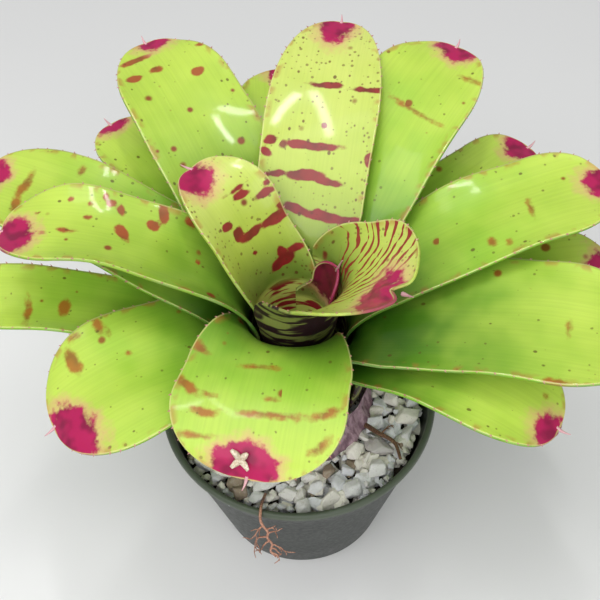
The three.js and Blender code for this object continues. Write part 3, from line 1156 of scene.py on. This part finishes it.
    def margin(self, mesh: bmesh.types.BMesh, leaf: LeafShape, rank: int) -> None:
        """Sets small forward-pointing teeth along both margins, and the spine at the tip.

        Args:
            mesh: The leaf's mesh, which they join.
            leaf: The leaf.
            rank: Its ring.
        """
        stations = [station for station in self.stations(leaf, rank) if station.share > 0.12]
        chance = random.Random(rank * 31 + 5)
        for hand in (-1.0, 1.0):
            travelled, due = 0.0, self.tooth_spacing
            for here, after in zip(stations, stations[1:]):
                start = here.point(hand) + self.wave(leaf, rank, here, hand)
                end = after.point(hand) + self.wave(leaf, rank, after, hand)
                travelled += (end - start).length
                if travelled < due or here.from_tip < 5.0 * MM:
                    continue
                due = travelled + self.tooth_spacing * chance.uniform(0.7, 1.3)
                forward = (end - start).normalized()
                outward = (start - here.point(hand * 0.9)).normalized()
                aim = (outward + forward * 0.7).normalized()
                size = self.tooth_length * chance.uniform(0.7, 1.2)
                turn = Vector((0.0, 0.0, 1.0)).rotation_difference(aim).to_matrix().to_4x4()
                spot = Matrix.Translation(start + aim * (size * 0.35)) @ turn
                cone = bmesh.ops.create_cone(
                    mesh, cap_ends=True, segments=4, radius1=size * 0.36, radius2=0.0, depth=size, matrix=spot
                )
                for face in {f for v in cone["verts"] for f in v.link_faces}:
                    face.material_index = 2
        last = stations[-1]
        ahead = (last.middle - stations[-4].middle).normalized()
        bend = Vector((0.0, 0.0, -0.10 if leaf.look is Look.HEART else 0.075))
        sideways = last.side * (0.05 * math.sin(rank * 2.3))
        root = last.middle - ahead * (1.5 * MM) - last.inward * (self.thickness / 2.0)
        path, direction = [root], ahead
        steps = len(self.spine_radii) - 1
        for _ in range(steps):
            direction = (direction + bend + sideways).normalized()
            path.append(path[-1] + direction * (self.spine_length / steps))
        sweep(mesh, path, [radius * MM for radius in self.spine_radii], 6, 3)

    def dry_crown(self, leaf: LeafShape, rank: int) -> None:
        """Adds the dried four-pointed remnant of the spine that lies on a leaf's tip.

        Args:
            leaf: The leaf.
            rank: Its ring.
        """
        station = min(self.stations(leaf, rank), key=lambda item: abs(item.from_tip - 9.0 * MM))
        mesh = bmesh.new()
        centre = station.point(-0.12) + station.inward * (1.6 * MM)
        for turn, length in ((0.7, 5.6), (2.3, 5.0), (3.9, 5.8), (5.4, 4.6)):
            out = station.side * math.cos(turn) + station.forward * math.sin(turn)
            knee = centre + out * (length * 0.55 * MM)
            end = centre + (out + station.inward * 0.3) * (length * MM)
            sweep(mesh, [centre, knee, end], [1.7 * MM, 1.5 * MM, 0.8 * MM], 6)
        paper = FibreFinish((0.84, 0.78, 0.62), (0.55, 0.44, 0.30), (1.0, 1.0, 1.0), 0.85)
        piece("front_tip_remnant", mesh, [paper.material("dry_paper", 900.0)])

    def build(self) -> None:
        """Builds and dresses every leaf."""
        thorn = ThornFinish().material("margin_teeth")
        spine = ThornFinish((0.58, 0.24, 0.30), (0.70, 0.45, 0.44)).material("tip_spine")
        for rank, leaf in enumerate(self.leaves):
            mesh = self.blade(leaf, rank)
            mesh.normal_update()
            stations = self.stations(leaf, rank)
            self.sort_faces(mesh, leaf, stations)
            self.margin(mesh, leaf, rank)
            finish = FINISHES[leaf.look]
            sizes = {item.name: getattr(finish, item.name) for item in fields(finish)}
            under = replace(
                LeafUnderside(**sizes),
                foot=LeafFinish.foot,
                foot_bar=LeafFinish.foot_bar,
                foot_reach=0.50 if leaf.look is Look.CUP else 0.12,
            )
            upper_face = finish.material(leaf.name + "_upper", rank * 1.7)
            under_face = under.material(leaf.name + "_under", rank * 1.7)
            piece(leaf.name + "_blade", mesh, [upper_face, under_face, thorn, spine], [leaf.name])
            if leaf.name == "leaf_front":
                self.dry_crown(leaf, rank)

    def sort_faces(self, mesh: bmesh.types.BMesh, leaf: LeafShape, stations: Sequence[Station]) -> None:
        """Gives the lower face its own finish and shades both smooth.

        Args:
            mesh: The leaf's mesh.
            leaf: The leaf.
            stations: Its cross-sections.
        """
        count = self.columns(leaf) * (len(stations) - 1)
        mesh.faces.ensure_lookup_table()
        for number, face in enumerate(mesh.faces):
            face.smooth = True
            face.material_index = 0 if number < count else 1


# The leaves, from the heart outwards, with the sizes that their CAD nodes have.
LEAVES = (
    LeafShape("leaf_heart", 18, 70, 30, 13, 80, -75, 60, 1, -12, look=Look.HEART, crown=Mark(0, 0, 24, 24)),
    LeafShape(
        "leaf_inner_left", 137, 85, 80, 24, 62, 18, 26, 1.9, 0,
        look=Look.INNER, crown=Mark(6, 5, 11, 13, 30), marks=(
            Mark(-18, 46.5, 9.5, 2.9, 3), Mark(-3, 47.2, 6.5, 2.7, 5), Mark(4, 43, 3.2, 4.0, -20),
            Mark(7, 36.5, 3.4, 2.2, -10), Mark(-22, 42, 3.0, 1.6), Mark(-17, 33.5, 5.8, 1.7, -3),
            Mark(-8, 24.5, 9.0, 1.0, -3), Mark(-7, 28, 5.0, 1.5, -8), Mark(-20, 64, 4.2, 2.0, 15),
            Mark(-13, 64, 2.2, 4.0), Mark(-14, 68, 6.2, 3.2, 20), Mark(-9, 70.5, 4.0, 2.6, 35),
            Mark(0, 57, 1.4, 1.3), Mark(-22, 30, 2.0, 1.0),
        ),
    ),
    LeafShape(
        "leaf_cup", -38, 104, 57, 38, 45, -14, 52, 1, 18,
        look=Look.CUP, crown=Mark(-7, 8, 20, 10.5, 20), notch=7.0,
    ),
    LeafShape(
        "leaf_upright_back", 78, 50, 154, 29, 38, 10, 16, 2.4, 0,
        wave=0.05, look=Look.INNER, crown=Mark(2, 3, 10, 17), marks=(
            Mark(-21, 50.5, 11.0, 1.7, -3), Mark(0, 49, 10.5, 1.9, 2), Mark(2, 82.5, 13.5, 2.3, 1),
            Mark(23, 82, 3.5, 2.4, 25), Mark(25, 88.5, 2.6, 2.0, -20), Mark(-28, 87, 3.4, 3.6),
            Mark(-8, 100, 8.0, 1.9, -5), Mark(5, 97.5, 10.0, 3.0, 3), Mark(19, 98.5, 7.0, 1.7, 10),
            Mark(-23, 118.5, 9.0, 2.8, -4), Mark(-8, 116.8, 10.0, 2.7, -5), Mark(7, 114.5, 8.0, 2.4, -14),
            Mark(20, 113, 8.0, 2.3, 8), Mark(-2, 71, 1.5, 1.8), Mark(-26, 123, 3.0, 1.6),
        ),
    ),
    LeafShape(
        "leaf_left_spotted", 172, 50, 141, 24, 30, 25, 28, 1.5, 3,
        look=Look.MIDDLE, crown=Mark(7, 6, 13, 15), marks=(
            Mark(2.5, 35, 1.4, 4.0), Mark(-2, 60.5, 5.7, 2.5, 35), Mark(-14.5, 57, 3.2, 2.1, 15),
            Mark(-17, 52, 1.9, 2.4), Mark(-19, 49, 1.8, 1.4), Mark(-11.5, 73.5, 2.9, 2.9),
            Mark(-19, 76.5, 5.6, 2.6, 15), Mark(-7, 43, 1.4, 2.2), Mark(-15, 43, 1.5, 1.1),
            Mark(-16, 33, 1.2, 1.3), Mark(-18.5, 90, 1.7, 3.2, -20), Mark(-1, 99, 1.5, 1.2),
            Mark(-8, 19, 1.0, 1.6), Mark(5, 24, 1.1, 2.2), Mark(-10, 113, 6.5, 3.4, 25),
        ),
    ),
    LeafShape(
        "leaf_front", -104, 64, 94, 40, 6, 62, 10, 0.9, 1,
        look=Look.FRONT, crown=Mark(-2, 4, 16, 13.5), marks=(
            Mark(6, 30.6, 13.5, 1.5, 4), Mark(30, 34.2, 7.0, 1.8, 28), Mark(-24, 26.5, 5.0, 1.7, -3),
            Mark(-34, 37, 7.0, 2.3, -24), Mark(-5, 54, 7.5, 1.4, 5), Mark(-34, 57.5, 4.5, 2.2, -15),
            Mark(30, 20, 5.0, 1.9, 45), Mark(-25, 35, 4.0, 1.1, -3), Mark(-26, 16, 8.0, 1.1, 5),
            Mark(5, 38, 2.8, 1.1),
        ),
    ),
    LeafShape(
        "leaf_back_right", 54, 36, 157, 30, 36, 8, 10, 1.5, 3,
        crown=Mark(-2, 2, 12, 11), marks=(Mark(-20, 22, 6.0, 1.3, -3), Mark(-6, 52, 12.0, 1.2, -8)),
    ),
    LeafShape(
        "leaf_right_upper", 13.5, 45, 156, 27, 25, 5, 14, 1.3, 1,
        crown=Mark(0, 2, 11, 12), marks=(
            Mark(-4, 43, 5.5, 1.4, -8), Mark(-15, 67, 2.7, 2.0), Mark(-19, 60, 1.6, 1.1),
        ),
    ),
    LeafShape(
        "leaf_back_left", 118.5, 55, 163, 30, 38, 8, 12, 1.6, 1,
        look=Look.MIDDLE, crown=Mark(-4, 1, 10, 9), marks=(
            Mark(11, 13, 7.5, 2.3, 5), Mark(5, 25, 3.3, 2.2), Mark(18, 26, 5.0, 2.2),
            Mark(-14, 36, 3.3, 2.5), Mark(-27, 19.5, 4.5, 2.0),
        ),
    ),
    # Its SHADED finish paints shade on this leaf.
    LeafShape(
        "leaf_right", -17, 55, 158, 35, 20, 8, 13, 1.3, 1,
        look=Look.SHADED, crown=Mark(0, 3, 15, 13), marks=(Mark(-2, 38, 4.0, 1.2), Mark(-34, 40, 1.8, 5.0)),
    ),
    LeafShape(
        "leaf_left_upper", 157, 50, 165, 29, 25, 8, 14, 1.3, 0,
        crown=Mark(0, 3, 13, 13), marks=(
            Mark(-1, 26.5, 9.5, 2.3, 3), Mark(14, 29.5, 6.0, 2.1, 15), Mark(-20, 48, 3.0, 2.0),
        ),
    ),
    LeafShape(
        "leaf_front_left", -153, 50, 117, 37, 12, 42, 8, 1.15, 0,
        crown=Mark(11, 9, 19, 11.5, 18), marks=(
            Mark(-22, 24, 7.5, 3.2, 3), Mark(-32, 42, 5.0, 1.7, -5), Mark(-12, 49, 1.1, 1.1),
            Mark(-27, 45, 2.4, 1.1), Mark(-33, 30, 1.5, 2.6),
        ),
    ),
    # Its SHADED finish paints shade on this leaf.
    LeafShape(
        "leaf_front_right", -32, 50, 126, 27, 18, 32, 20, 1.3, 0,
        look=Look.SHADED, crown=Mark(-6, 3, 11, 9), marks=(Mark(9, 13, 1.3, 1.2),),
    ),
    LeafShape("leaf_back", 91, 50, 134, 26, 44, 5, 10, 1.3, 0, crown=Mark(0, 2, 10, 10)),
    LeafShape("leaf_far_right", 35, 42, 144, 21, 25, 8, 14, 1.3, 0, crown=Mark(0, 3, 12, 12)),
    LeafShape("leaf_far_left", 130, 42, 142, 21, 29, 8, 14, 1.3, 0, crown=Mark(0, 1, 11, 7)),
    LeafShape(
        "leaf_right_lower", 5, 45, 145, 27, 18, 8, 14, 1.3, 0,
        crown=Mark(0, 3, 14, 12), marks=(Mark(-4, 30, 6.0, 1.4, 8),),
    ),
    LeafShape(
        "leaf_left_lower", 176.5, 40, 160, 20, 19, 10, 16, 1.3, 0,
        crown=Mark(0, 3, 12, 12), marks=(Mark(9, 48, 9.5, 1.7, 8), Mark(3, 65, 5.0, 2.5)),
    ),
)


# ---- Pot, gravel and roots ---------------------------------------------------------------------------


@dataclass
class NurseryPot:
    """The tapered pot with its lip and drain holes, filled with potting mix.

    Attributes:
        rim_radius: Outside of the lip.
        base_radius: Outside of the underside.
        height: The pot's height.
        wall: Thickness of the wall.
        floor: Thickness of the floor.
        lip_height: Height of the lip.
        lip_proud: How far the lip stands out from the wall.
        steps: How many faces there are round it.
        drain_holes: How many drain holes there are.
        drain_radius: A drain hole's radius.
        drain_circle: Radius of the circle that they are on.
    """

    rim_radius: float = 76.0 * MM
    base_radius: float = 50.0 * MM
    height: float = 110.0 * MM
    wall: float = 1.8 * MM
    floor: float = 2.4 * MM
    lip_height: float = 4.5 * MM
    lip_proud: float = 1.6 * MM
    steps: int = 128
    drain_holes: int = 6
    drain_radius: float = 5.0 * MM
    drain_circle: float = 33.0 * MM

    def outside(self, z: float) -> float:
        """Gives the wall's outer radius at a height."""
        return mix(self.base_radius, self.rim_radius - self.lip_proud, z / self.height)

    def section(self) -> list[tuple[float, float]]:
        """Draws half of the pot's section, from the middle of its underside to the middle of its floor.

        Returns:
            The radius and height of each corner.
        """
        top, rim, base = self.height, self.rim_radius, self.base_radius
        under_lip = top - self.lip_height
        outer = [(self.outside(z * MM), z * MM) for z in (2.5, 30.0, 60.0, 90.0)]
        inner = [(self.outside(z) - self.wall, z) for z in (60.0 * MM, self.floor + 2.0 * MM)]
        return [
            (0.0, 0.0),
            (base - 6.0 * MM, 0.0),
            (base - 1.5 * MM, 0.15 * MM),
            (base - 0.3 * MM, 0.9 * MM),
            *outer,
            (self.outside(under_lip) - 0.1 * MM, under_lip - 0.6 * MM),
            (self.outside(under_lip) + 0.5 * MM, under_lip - 0.1 * MM),
            (rim - 0.5 * MM, under_lip + 0.3 * MM),
            (rim, under_lip + 1.2 * MM),
            (rim, top - 1.6 * MM),
            (rim - 0.5 * MM, top - 0.5 * MM),
            (rim - 1.5 * MM, top),
            (self.outside(top) - self.wall + 0.5 * MM, top - 0.1 * MM),
            (self.outside(top) - self.wall, top - 0.9 * MM),
            *inner,
            (self.outside(self.floor) - self.wall - 3.0 * MM, self.floor),
            (0.0, self.floor),
        ]

    def drill(self, pot: Object) -> None:
        """Cuts the drain holes through the pot's floor.

        Args:
            pot: The pot.
        """
        mesh = bmesh.new()
        for number in range(self.drain_holes):
            spot = radial(number / self.drain_holes * 2.0 * math.pi) * self.drain_circle
            spot.z = self.floor / 2.0
            bmesh.ops.create_cone(
                mesh, cap_ends=True, segments=32, radius1=self.drain_radius, radius2=self.drain_radius,
                depth=self.floor * 3.0, matrix=Matrix.Translation(spot)
            )
        data = bpy.data.meshes.new("drain_drill")
        mesh.to_mesh(data)
        mesh.free()
        cutter = bpy.data.objects.new("drain_drill", data)
        bpy.context.scene.collection.objects.link(cutter)
        cut = pot.modifiers.new("drain_holes", "BOOLEAN")
        cut.operation, cut.solver, cut.object = "DIFFERENCE", "EXACT", cutter
        drilled = bpy.data.meshes.new_from_object(pot.evaluated_get(bpy.context.evaluated_depsgraph_get()))
        pot.modifiers.remove(cut)
        pot.data = drilled
        bpy.data.objects.remove(cutter)
        log.info("nursery_pot: %d faces with its drain holes", len(drilled.polygons))

    def build(self) -> None:
        """Spins the pot's section round its axis, drills it and dresses it."""
        mesh = bmesh.new()
        points = [mesh.verts.new((r, 0.0, z)) for r, z in self.section()]
        edges = [mesh.edges.new(pair) for pair in zip(points, points[1:])]
        bmesh.ops.spin(
            mesh, geom=points + edges, axis=(0, 0, 1), cent=(0, 0, 0), angle=2.0 * math.pi, steps=self.steps,
            use_merge=True
        )
        bmesh.ops.remove_doubles(mesh, verts=mesh.verts, dist=1e-6)
        bmesh.ops.recalc_face_normals(mesh, faces=mesh.faces)
        for face in mesh.faces:
            face.smooth = True
        plastic = PotFinish().material("pot_plastic", self.height - self.lip_height)
        self.drill(piece("nursery_pot", mesh, [plastic], ["pot"]))
        crumb = FibreFinish((0.05, 0.035, 0.022), (0.012, 0.009, 0.007), (1, 1, 1), 0.95)
        keep_node("potting_mix", crumb.material("mix"))


@dataclass
class GravelLayer:
    """Crushed stones laid on the potting mix in three loose layers.

    Attributes:
        inner_radius: Where the stones begin, round the stem.
        outer_radius: Where they end, at the pot's wall.
        smallest: A small stone's rough radius.
        largest: A large stone's rough radius.
        levels: Height of each layer's middle.
        seed: What sets the scatter.
        tries: How many places are tried in each layer.
        shrinking: After how many tries only the smallest stones are left.
        closeness: Least distance between two stones over the sum of their radii.
    """

    inner_radius: float = 20.0 * MM
    outer_radius: float = 69.5 * MM
    smallest: float = 2.4 * MM
    largest: float = 6.4 * MM
    levels: Sequence[float] = (93.5 * MM, 98.2 * MM, 101.0 * MM)
    seed: int = 11
    tries: int = 5200
    shrinking: int = 2200
    closeness: float = 0.78

    def stone(
        self, mesh: bmesh.types.BMesh, size: float, centre: Vector, chance: random.Random, worn: bool
    ) -> list[bmesh.types.BMFace]:
        """Adds one broken stone: the hull of a few points, which may have its edges knocked off.

        Args:
            mesh: The mesh it joins.
            size: Its rough radius.
            centre: Its place.
            chance: The source of its shape.
            worn: Whether its edges are knocked off.

        Returns:
            Its faces.
        """
        stretch = Vector((chance.uniform(0.95, 1.4), chance.uniform(0.7, 1.0), chance.uniform(0.55, 0.8)))
        turn = Matrix.Rotation(chance.uniform(0, 6.28), 3, "Z")
        turn = turn @ Matrix.Rotation(chance.uniform(-0.6, 0.6), 3, "X")
        points = []
        count = chance.choice((9, 10, 12))
        for number in range(count):
            z = 1.0 - 2.0 * (number + 0.5) / count
            ring = math.sqrt(1.0 - z * z)
            angle = number * 2.4 + chance.uniform(-0.7, 0.7)
            shape = Vector((math.cos(angle) * ring, math.sin(angle) * ring, z)) * chance.uniform(0.8, 1.2)
            corner = Vector(a * b * size for a, b in zip(shape, stretch))
            points.append(mesh.verts.new(centre + turn @ corner))
        hull = bmesh.ops.convex_hull(mesh, input=points)
        inside = [v for v in hull["geom_interior"] if isinstance(v, bmesh.types.BMVert)]
        bmesh.ops.delete(mesh, geom=inside, context="VERTS")
        kept = [v for v in points if v.is_valid]
        if worn:
            edges = list({edge for v in kept for edge in v.link_edges})
            offset = size * 0.07
            kept = bmesh.ops.bevel(
                mesh, geom=edges, offset=offset, segments=1, profile=0.5, affect="EDGES", material=-1
            )["verts"]
        return list({face for v in kept for face in v.link_faces})

    def build(self) -> None:
        """Scatters the stones so that those of a layer hardly touch."""
        chance = random.Random(self.seed)
        mesh = bmesh.new()
        tone = mesh.verts.layers.float.new("stone_tone")
        for level in self.levels:
            placed: list[tuple[Vector, float]] = []
            for attempt in range(self.tries):
                size = mix(self.largest, self.smallest, min(1.0, attempt / self.shrinking))
                size *= chance.uniform(0.9, 1.1)
                farthest = self.outer_radius - size * 0.9
                radius = math.sqrt(chance.uniform(self.inner_radius**2, farthest**2))
                spot = radial(chance.uniform(0.0, 2.0 * math.pi)) * radius
                if any((spot - other).length < (size + width) * self.closeness for other, width in placed):
                    continue
                placed.append((spot, size))
            for spot, size in placed:
                centre = Vector((spot.x, spot.y, level + chance.uniform(-1.0, 1.0) * MM))
                shade = chance.random()
                for face in self.stone(mesh, size, centre, chance, level == self.levels[-1]):
                    for vert in face.verts:
                        vert[tone] = shade
            log.info("gravel level %.0f mm: %d stones", level / MM, len(placed))
        mesh.normal_update()
        piece("gravel_stones", mesh, [StoneFinish().material("pumice")], ["gravel_bed"])


@dataclass
class OldSheaths:
    """Papery bases of dead leaves that stand round the foot of the rosette.

    Attributes:
        rows: For each, the CAD node, the azimuth and the half angle it clasps in degrees, and its height.
        foot: Height of the lower edge.
        foot_radius: Least distance from the stem's axis.
        bulb_centre: Height at which the rosette's sheaths have turned upright.
        bulb: Radius of the outermost ring's bulb.
        start: Distance from the axis at which that bulb begins.
        thickness: Thickness of the dry sheath.
        ragged: Depth of the tears along the upper edge.
        flare: How far the foot splays out.
    """

    rows: Sequence[tuple[str, float, float, float]] = (
        ("old_sheath_front", -28.0, 56.0, 34.0 * MM),
        ("old_sheath_back", 92.0, 54.0, 28.0 * MM),
        ("old_sheath_left", -148.0, 54.0, 31.0 * MM),
    )
    foot: float = 102.7 * MM
    foot_radius: float = 32.2 * MM
    bulb_centre: float = 136.0 * MM
    bulb: float = 28.4 * MM
    start: float = 10.6 * MM
    thickness: float = 0.7 * MM
    ragged: float = 3.0 * MM
    flare: float = 9.0 * MM

    def radius(self, z: float) -> float:
        """Gives how far a sheath stands from the stem's axis.

        Args:
            z: The height.

        Returns:
            The distance.
        """
        rise = min(0.0, max(-1.0, (z - self.bulb_centre) / self.bulb))
        lean = max(0.0, z - self.bulb_centre) * math.tan(math.radians(9.0))
        return max(self.foot_radius, self.start + self.bulb * math.sqrt(1.0 - rise**2) + lean)

    def build(self) -> None:
        """Bends a grid round the foot for each sheath, tears its top edge and thickens it."""
        papery = FibreFinish((0.46, 0.31, 0.36), (0.17, 0.09, 0.12), (1.0, 1.0, 0.22), 0.7)
        finish = papery.material("dead_sheath", 330.0)
        for number, (name, azimuth, wrap, height) in enumerate(self.rows):
            mesh = bmesh.new()
            bmesh.ops.create_grid(mesh, x_segments=60, y_segments=16, size=1.0)
            for vert in mesh.verts:
                across, share = vert.co.x, (vert.co.y + 1.0) / 2.0
                torn = noise.noise(Vector((across * 3.5, number * 3.3, 0.5))) * 3.4 * self.ragged
                torn -= self.ragged
                torn += noise.noise(Vector((across * 15.0, number * 5.1, 1.5))) * 1.1 * self.ragged
                z = self.foot + (height - self.ragged) * share + torn * share
                crease = noise.noise(Vector((across * 5.0, share * 2.2, number * 9.0))) * 2.0 * MM
                crease += self.flare * (1.0 - share) ** 1.5
                there = radial(math.radians(azimuth + wrap * across)) * (self.radius(z) + crease)
                vert.co = Vector((there.x, there.y, z))
            bmesh.ops.solidify(mesh, geom=mesh.faces[:], thickness=self.thickness)
            bmesh.ops.recalc_face_normals(mesh, faces=mesh.faces)
            for face in mesh.faces:
                face.smooth = True
            piece(name + "_paper", mesh, [finish], [name])


@dataclass
class LooseRoots:
    """The branched root that hangs over the lip, and the one that lies on the gravel.

    Attributes:
        thick: The hanging root's radius at its foot.
        thin: A rootlet's radius at its end.
        outside: Distance from the pot's axis at which the root hangs.
        over_lip: Height at which it crosses the lip.
        on_gravel: Height of a root that lies on the gravel.
        seed: What sets the rootlets' turns.
    """

    thick: float = 0.85 * MM
    thin: float = 0.26 * MM
    outside: float = 77.6 * MM
    over_lip: float = 111.6 * MM
    on_gravel: float = 103.9 * MM
    seed: int = 4

    def place(self, azimuth: float, out: float, z: float) -> Vector:
        """Gives a point from its azimuth in degrees, its millimetres past the lip and its height."""
        spot = radial(math.radians(azimuth)) * (self.outside + out * MM)
        return Vector((spot.x, spot.y, z))

    def smoothed(self, points: Sequence[Vector], steps: int) -> list[Vector]:
        """Rounds a path through its points.

        Args:
            points: The points.
            steps: How many pieces each stretch is cut into.

        Returns:
            The path.
        """
        padded = [points[0] * 2 - points[1], *points, points[-1] * 2 - points[-2]]
        path = []
        for a, b, c, d in zip(padded, padded[1:], padded[2:], padded[3:]):
            for step in range(steps):
                t = step / steps
                bend = b * 2 + (c - a) * t + (a * 2 - b * 5 + c * 4 - d) * t**2
                path.append((bend + (b * 3 - a - c * 3 + d) * t**3) / 2)
        return [*path, points[-1]]

    def twig(
        self,
        mesh: bmesh.types.BMesh,
        start: Vector,
        aim: Vector,
        length: float,
        radius: float,
        chance: random.Random,
    ) -> None:
        """Grows a curly rootlet, with finer ones of its own.

        Args:
            mesh: The mesh it joins.
            start: Where it leaves its parent.
            aim: The way it sets out.
            length: Its length.
            radius: Its radius at the start.
            chance: The source of its turns.
        """
        steps = max(4, round(length / (1.4 * MM)))
        path, direction = [start], aim.normalized()
        for step in range(steps):
            wander = Vector((chance.uniform(-1, 1), chance.uniform(-1, 1), chance.uniform(-1, 1)))
            direction = (direction + wander * 0.42 + Vector((0.0, 0.0, -0.06))).normalized()
            path.append(path[-1] + direction * (length / steps))
            if radius > 0.4 * MM and step > 0 and chance.random() < 0.5:
                outward = (direction + wander).normalized()
                self.twig(mesh, path[-1], outward, length * chance.uniform(0.3, 0.6), radius * 0.55, chance)
        radii = [mix(radius, self.thin * 0.7, number / steps) for number in range(steps + 1)]
        sweep(mesh, path, radii, 6)

    def hanging(self) -> None:
        """Builds the root that hangs over the lip, with its branches."""
        chance = random.Random(self.seed)
        lip, gravel = self.over_lip, self.on_gravel
        rows = (
            (-108, -16, gravel),
            (-107, -8, lip - 1 * MM),
            (-106.5, -3.5, lip + 0.6 * MM),
            (-106, 0.4, lip - 3 * MM),
            (-105.2, 0.8, lip - 9 * MM),
            (-103.4, 1.0, lip - 15 * MM),
            (-103.8, 1.2, lip - 22 * MM),
            (-102.2, 1.0, lip - 29 * MM),
            (-103, 1.4, lip - 37 * MM),
            (-101.2, 1.0, lip - 44 * MM),
        )
        path = self.smoothed([self.place(*row) for row in rows], 5)
        mesh = bmesh.new()
        sweep(mesh, path, [mix(self.thick, 0.5 * MM, number / len(path)) for number in range(len(path))], 8)
        for number in range(20, len(path) - 2, 3):
            side = Vector((chance.choice((-1.0, 1.0)), -0.12, chance.uniform(-0.7, 0.3)))
            self.twig(mesh, path[number], side, chance.uniform(6, 13) * MM, 0.55 * MM, chance)
        bark = FibreFinish((0.62, 0.33, 0.22), (0.32, 0.14, 0.09), (1, 1, 1), 0.7)
        piece("hanging_root", mesh, [bark.material("root_bark", 1100.0)], ["root_hanging"])

    def lying(self) -> None:
        """Builds the twig-like root on the gravel."""
        chance = random.Random(self.seed + 1)
        gravel = self.on_gravel
        rows = (
            (-27, -37, gravel),
            (-30, -28, gravel + 1.4 * MM),
            (-31, -18, gravel + 0.9 * MM),
            (-37, -10.5, gravel),
        )
        path = self.smoothed([self.place(*row) for row in rows], 6)
        mesh = bmesh.new()
        sweep(mesh, path, [mix(1.5 * MM, 0.8 * MM, number / len(path)) for number in range(len(path))], 8)
        self.twig(mesh, path[7], Vector((0.6, 0.7, 0.15)), 9 * MM, 0.6 * MM, chance)
        self.twig(mesh, path[12], Vector((0.9, -0.2, 0.05)), 8 * MM, 0.5 * MM, chance)
        wood = FibreFinish((0.30, 0.17, 0.09), (0.12, 0.06, 0.035), (1, 1, 1), 0.8)
        piece("gravel_root", mesh, [wood.material("dry_twig", 900.0)], ["root_on_gravel"])

    def build(self) -> None:
        """Builds both roots."""
        self.hanging()
        self.lying()


# ---- Floor, light and camera -------------------------------------------------------------------------


@dataclass
class Studio:
    """A pale floor, soft lights and the camera.

    Attributes:
        eye: The camera's place.
        ahead: The way it looks.
        up: The way that is upright in its view.
        lens: Its focal length in millimetres.
        floor_half: Half of the floor's side.
    """

    eye: tuple[float, float, float] = (0.0027, -0.3069, 0.5772)
    ahead: tuple[float, float, float] = (0.0, 0.6239, -0.7815)
    up: tuple[float, float, float] = (0.0349, 0.7810, 0.6235)
    lens: float = 60.0
    floor_half: float = 9.0

    def build(self) -> None:
        """Lays the floor, hangs the lights and sets the camera."""
        self.floor()
        self.light("key_soft", (-0.7, -0.7, 1.7), 1.8, 24.0)
        self.light("overhead_left", (-0.15, 0.10, 1.5), 0.55, 3.2, 0.08)
        self.light("overhead_right", (0.15, 0.05, 1.6), 0.45, 3.0, 0.06)
        self.light("front_fill", (0.35, -1.3, 0.9), 1.4, 11.0)
        world = bpy.data.worlds.new("studio")
        world.use_nodes = True
        world.node_tree.nodes["Background"].inputs[0].default_value = (0.95, 0.97, 1.0, 1.0)
        world.node_tree.nodes["Background"].inputs[1].default_value = 0.30
        bpy.context.scene.world = world
        bpy.context.scene.view_settings.view_transform = "Standard"
        self.camera()

    def floor(self) -> None:
        """Lays a pale matt floor under the pot."""
        mesh = bmesh.new()
        bmesh.ops.create_grid(mesh, x_segments=2, y_segments=2, size=self.floor_half)
        data = bpy.data.meshes.new("floor")
        mesh.to_mesh(data)
        mesh.free()
        made = bpy.data.objects.new("floor", data)
        bpy.context.scene.collection.objects.link(made)
        g = Graph("floor_paint")
        where = g.node("TexCoord").outputs["Object"]
        colour = g.blend(g.noise(where, 3.0), (0.74, 0.74, 0.73), (0.79, 0.79, 0.78))
        data.materials.append(g.finish(colour, 0.7))

    def light(
        self, name: str, place: tuple[float, float, float], size: float, power: float, length: float = 0.0
    ) -> None:
        """Hangs a soft light that faces the plant.

        Args:
            name: The light's name.
            place: Where it hangs.
            size: Its side.
            power: Its power in watts.
            length: Its other side, if it is a long one.
        """
        data = bpy.data.lights.new(name, "AREA")
        data.shape = "RECTANGLE"
        data.size = size
        data.size_y = length or size
        data.energy = power
        lamp = bpy.data.objects.new(name, data)
        bpy.context.scene.collection.objects.link(lamp)
        lamp.location = place
        aim = Vector((0.0, 0.0, 0.18)) - Vector(place)
        lamp.rotation_euler = aim.to_track_quat("-Z", "Y").to_euler()

    def camera(self) -> None:
        """Sets the camera."""
        data = bpy.data.cameras.new("camera")
        data.lens = self.lens
        data.sensor_width = 36.0
        data.clip_start = 0.01
        made = bpy.data.objects.new("camera", data)
        bpy.context.scene.collection.objects.link(made)
        back = -Vector(self.ahead).normalized()
        up = Vector(self.up)
        across = up.cross(back).normalized()
        up = back.cross(across)
        turn = Matrix((across, up, back)).transposed().to_4x4()
        made.matrix_world = Matrix.Translation(self.eye) @ turn
        bpy.context.scene.camera = made


def main() -> None:
    """Builds the plant in its pot, and the floor, the light and the camera around it."""
    Rosette(leaves=LEAVES).build()
    NurseryPot().build()
    GravelLayer().build()
    OldSheaths().build()
    LooseRoots().build()
    keep_node("stem", FibreFinish((0.30, 0.33, 0.16), (0.12, 0.10, 0.05)).material("stem_fibres"))
    Studio().build()


if __name__ == "__main__":
    main()
